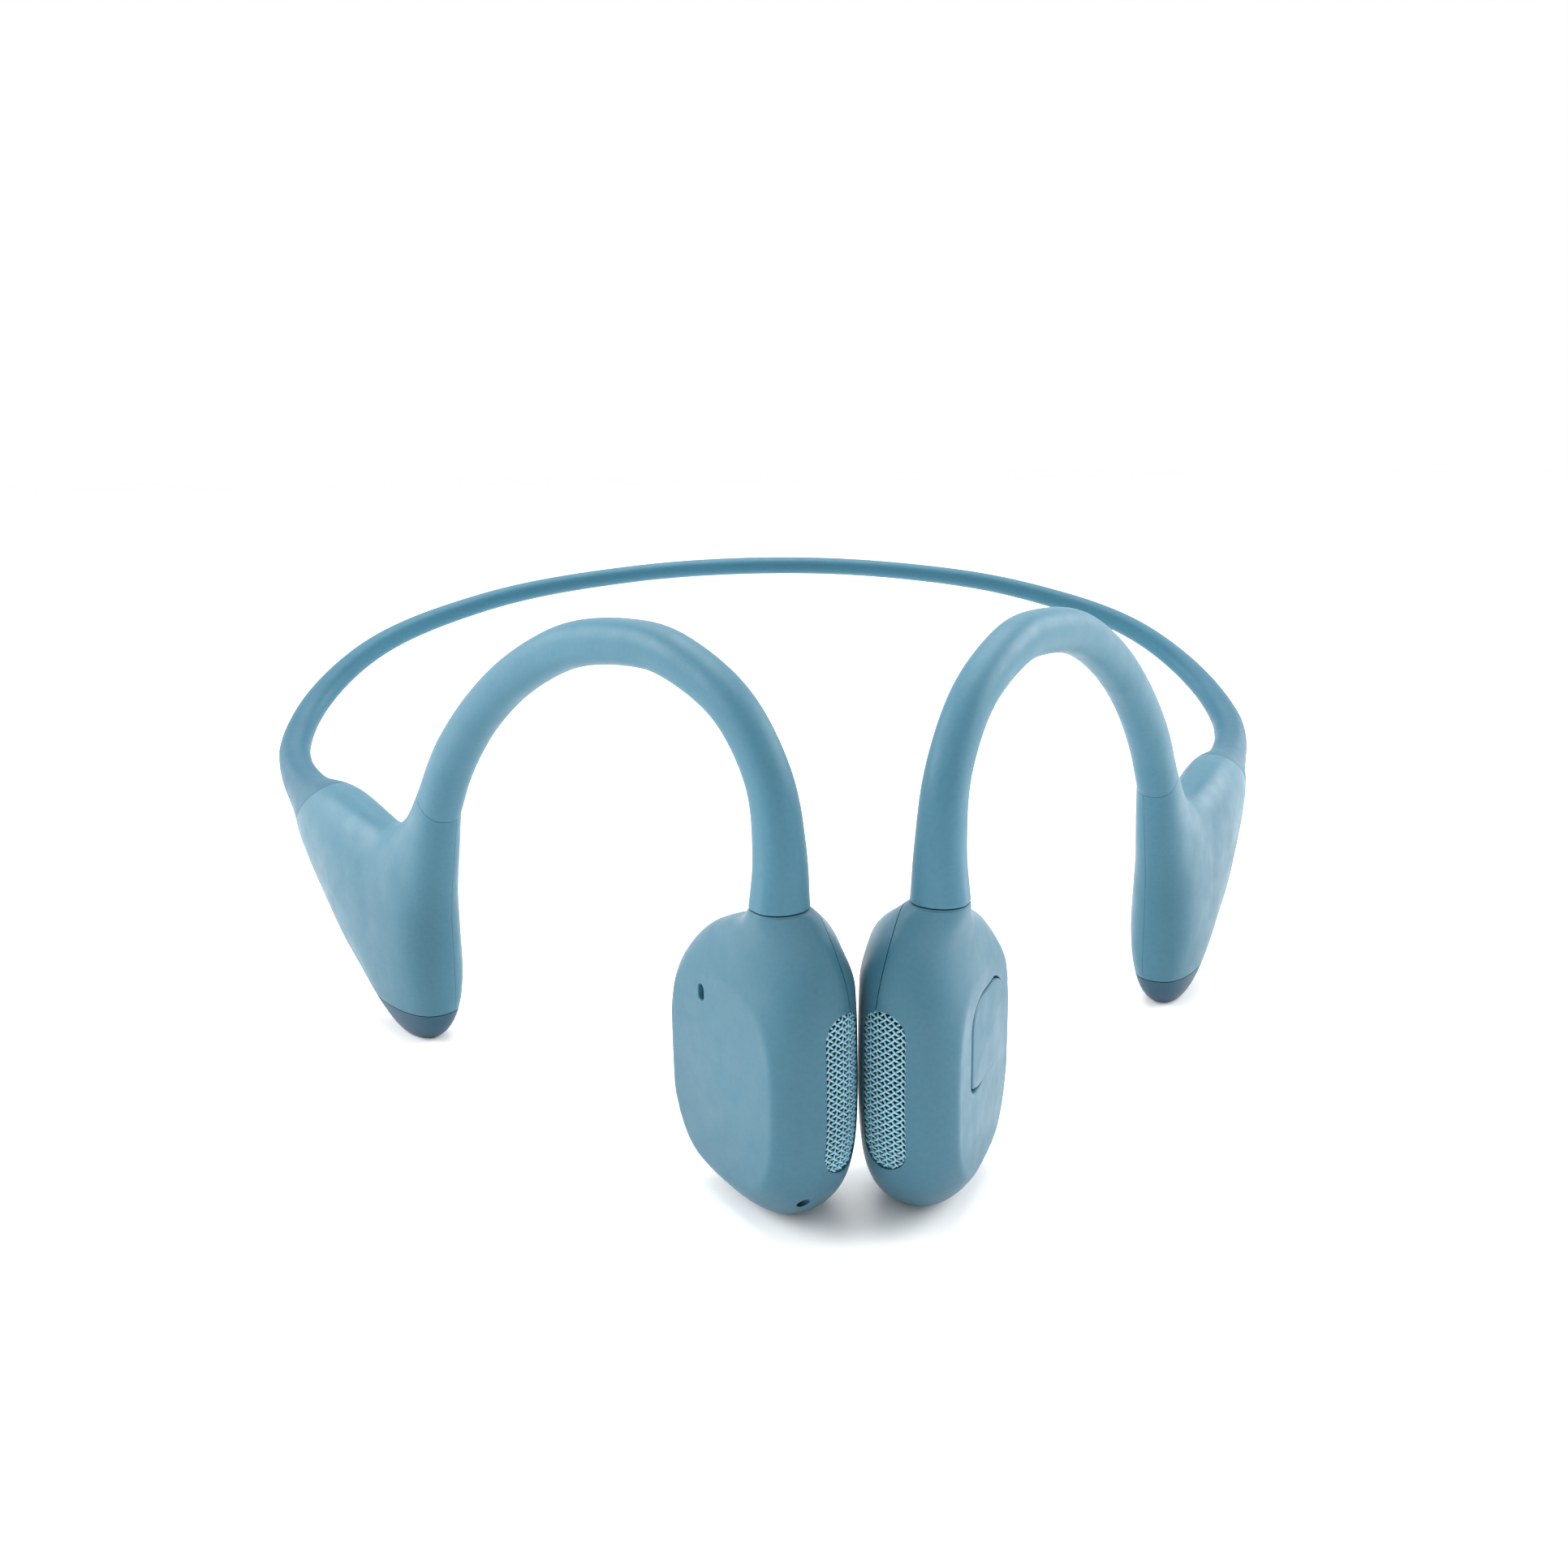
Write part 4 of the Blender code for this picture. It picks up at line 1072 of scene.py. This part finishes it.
def pod(label, side):
    """The pod's outer shell, inner cover and dark foot."""
    rings = [pod_section(row, 0) for row in pod_rows()]
    outer = skinned(f"{label}_pod_outer_skin", rings, "pod_shell", side)
    inner = skinned(f"{label}_pod_inner_skin", rings, "pod_shell", side)
    foot = skinned(f"{label}_pod_foot_skin", rings, "foot", side)
    outer_cuts = pod_cuts(f"{label}_pod_outer", side, (POD_ACROSS[0], POD_SEAM + HAIRLINE / 4))
    inner_cuts = pod_cuts(f"{label}_pod_inner", side, (POD_SEAM - HAIRLINE / 4, POD_ACROSS[1]))
    foot_cuts = [
        pod_slab(f"{label}_foot_above", side, POD_ACROSS, (FOOT_TOP - HAIRLINE, POD_HEIGHTS[1])),
        pod_slab(f"{label}_foot_below", side, POD_ACROSS, (POD_HEIGHTS[0], 0)),
    ]
    if label == "right":
        outer_cuts += control_cuts(side)
    carve(outer, outer_cuts)
    carve(inner, inner_cuts)
    carve(foot, foot_cuts)
    shown(outer, f"{label}_arm", "shell", f"{label}_pod_shell")
    shown(inner, f"{label}_arm", "shell", f"{label}_pod_cover")
    shown(foot, f"{label}_arm", "foot", f"{label}_pod_foot")


def below_outline(size, margin):
    """The round-ended outline of something in the pod's underside, a margin smaller than its half sizes."""
    return stadium((0, POD_MIDDLE), (size[0] - margin, size[1] - margin))


def control_cuts(side):
    """Cutters for the volume keys and the charging socket in the wearer's right pod."""
    cuts = []
    for name, centre in KEYS.items():
        rings = below_pod(below_outline(KEY_SIZE, -KEY_GAP), centre, *KEY_MOUTH)
        cuts.append(skinned(f"{name}_mouth", rings, "shell", side))
    rings = below_pod(below_outline(SOCKET_SIZE, -SOCKET_GAP), SOCKET, *SOCKET_MOUTH)
    cuts.append(skinned("socket_mouth", rings, "shell", side))
    return cuts


def below_profile(size, profile, centre):
    """Rings of something in the pod's underside, at each margin and depth of its profile."""
    rings = []
    for margin, depth in profile:
        rings += below_pod(below_outline(size, margin), centre, depth)
    return rings


def pod_controls(side):
    """The volume keys' caps, and the charging socket's shell with the edge of its mouth sloping in."""
    for name, centre in KEYS.items():
        rings = below_profile(KEY_SIZE, KEY_EDGE, centre)
        piece = skinned(f"{name}_cap", rings, "foot", side, SHARP_EDGED)
        shown(piece, f"{name}_key", "foot", f"{name}_button")
    piece = skinned("charging_port", below_profile(SOCKET_SIZE, SOCKET_EDGE, SOCKET), "steel", side)
    shown(piece, "right_arm", "steel", "charging_socket")


def function_button(side):
    """The button's cap, flush with the facet, with a soft edge."""
    rings = across_housing(button_outline(), FACET - BUTTON_DEPTH)
    top = FACET + BUTTON_RISE
    for inward, down in rounding(ROUND_LIP):
        rings += across_housing(button_outline(-BUTTON_EDGE * inward), top - BUTTON_EDGE * down)
    piece = skinned("function_button_cap", rings, "shell", side, SHARP_EDGED)
    shown(piece, "function_key", "silicone", "function_button")


def finish_carried_nodes():
    """Gives each CAD node that still shows its procedural finish, by the node's slot in the record."""
    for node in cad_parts.values():
        for place in node.material_slots:
            name = place.material.name.split(".")[0] if place.material else "dark_plastic"
            place.material = FINISHES.get(name, FINISHES["dark_plastic"])


# Studio

def studio():
    """A white floor under a white sky, with a soft box overhead and one on each side."""
    mesh = bmesh.new()
    bmesh.ops.create_grid(mesh, x_segments=8, y_segments=8, size=FLOOR_HALF)
    meshed("studio_floor_plane", mesh, "floor")
    world = bpy.data.worlds.new("studio_world")
    bpy.context.scene.world = world
    world.use_nodes = True
    sky = world.node_tree.nodes["Background"]
    sky.inputs["Color"].default_value = (1, 1, 1, 1)
    sky.inputs["Strength"].default_value = SKY
    for name, place, size, power in LIGHTS:
        data = bpy.data.lights.new(name, "AREA")
        data.shape = "DISK"
        data.size = size
        data.energy = power
        light = bpy.data.objects.new(name, data)
        light.location = place
        light.rotation_euler = (-Vector(place)).to_track_quat("-Z", "Y").to_euler()
        bpy.context.scene.collection.objects.link(light)


def camera():
    """The camera at the photograph's place and angle."""
    data = bpy.data.cameras.new("camera")
    data.sensor_width = 36
    data.lens = CAMERA_LENS
    data.clip_start = 0.005
    data.clip_end = 50
    yaw, pitch, roll = (math.radians(angle) for angle in CAMERA_ANGLES)
    right = Vector((math.cos(yaw), math.sin(yaw), 0))
    ahead = Vector((-math.sin(yaw), math.cos(yaw), 0))
    forward = math.cos(pitch) * ahead - math.sin(pitch) * Vector(UP)
    upward = math.sin(pitch) * ahead + math.cos(pitch) * Vector(UP)
    tilted_right = math.cos(roll) * right + math.sin(roll) * upward
    tilted_up = -math.sin(roll) * right + math.cos(roll) * upward
    made = bpy.data.objects.new("camera", data)
    turn = Matrix((tilted_right, tilted_up, -forward)).transposed()
    made.matrix_world = Matrix.Translation(CAMERA_PLACE) @ turn.to_4x4()
    bpy.context.scene.collection.objects.link(made)
    bpy.context.scene.camera = made


def main():
    bpy.context.scene.view_settings.view_transform = "Standard"
    finish_carried_nodes()
    for label, side in SIDES.items():
        band_half(label, side)
        hook_skin(label, side)
        housing(label, side)
        contact_pad(label, side)
        wire_mesh(label, side)
        grille_cloth(label, side)
        pod(label, side)
    function_button(SIDES["left"])
    pod_controls(SIDES["right"])
    studio()
    camera()


main()
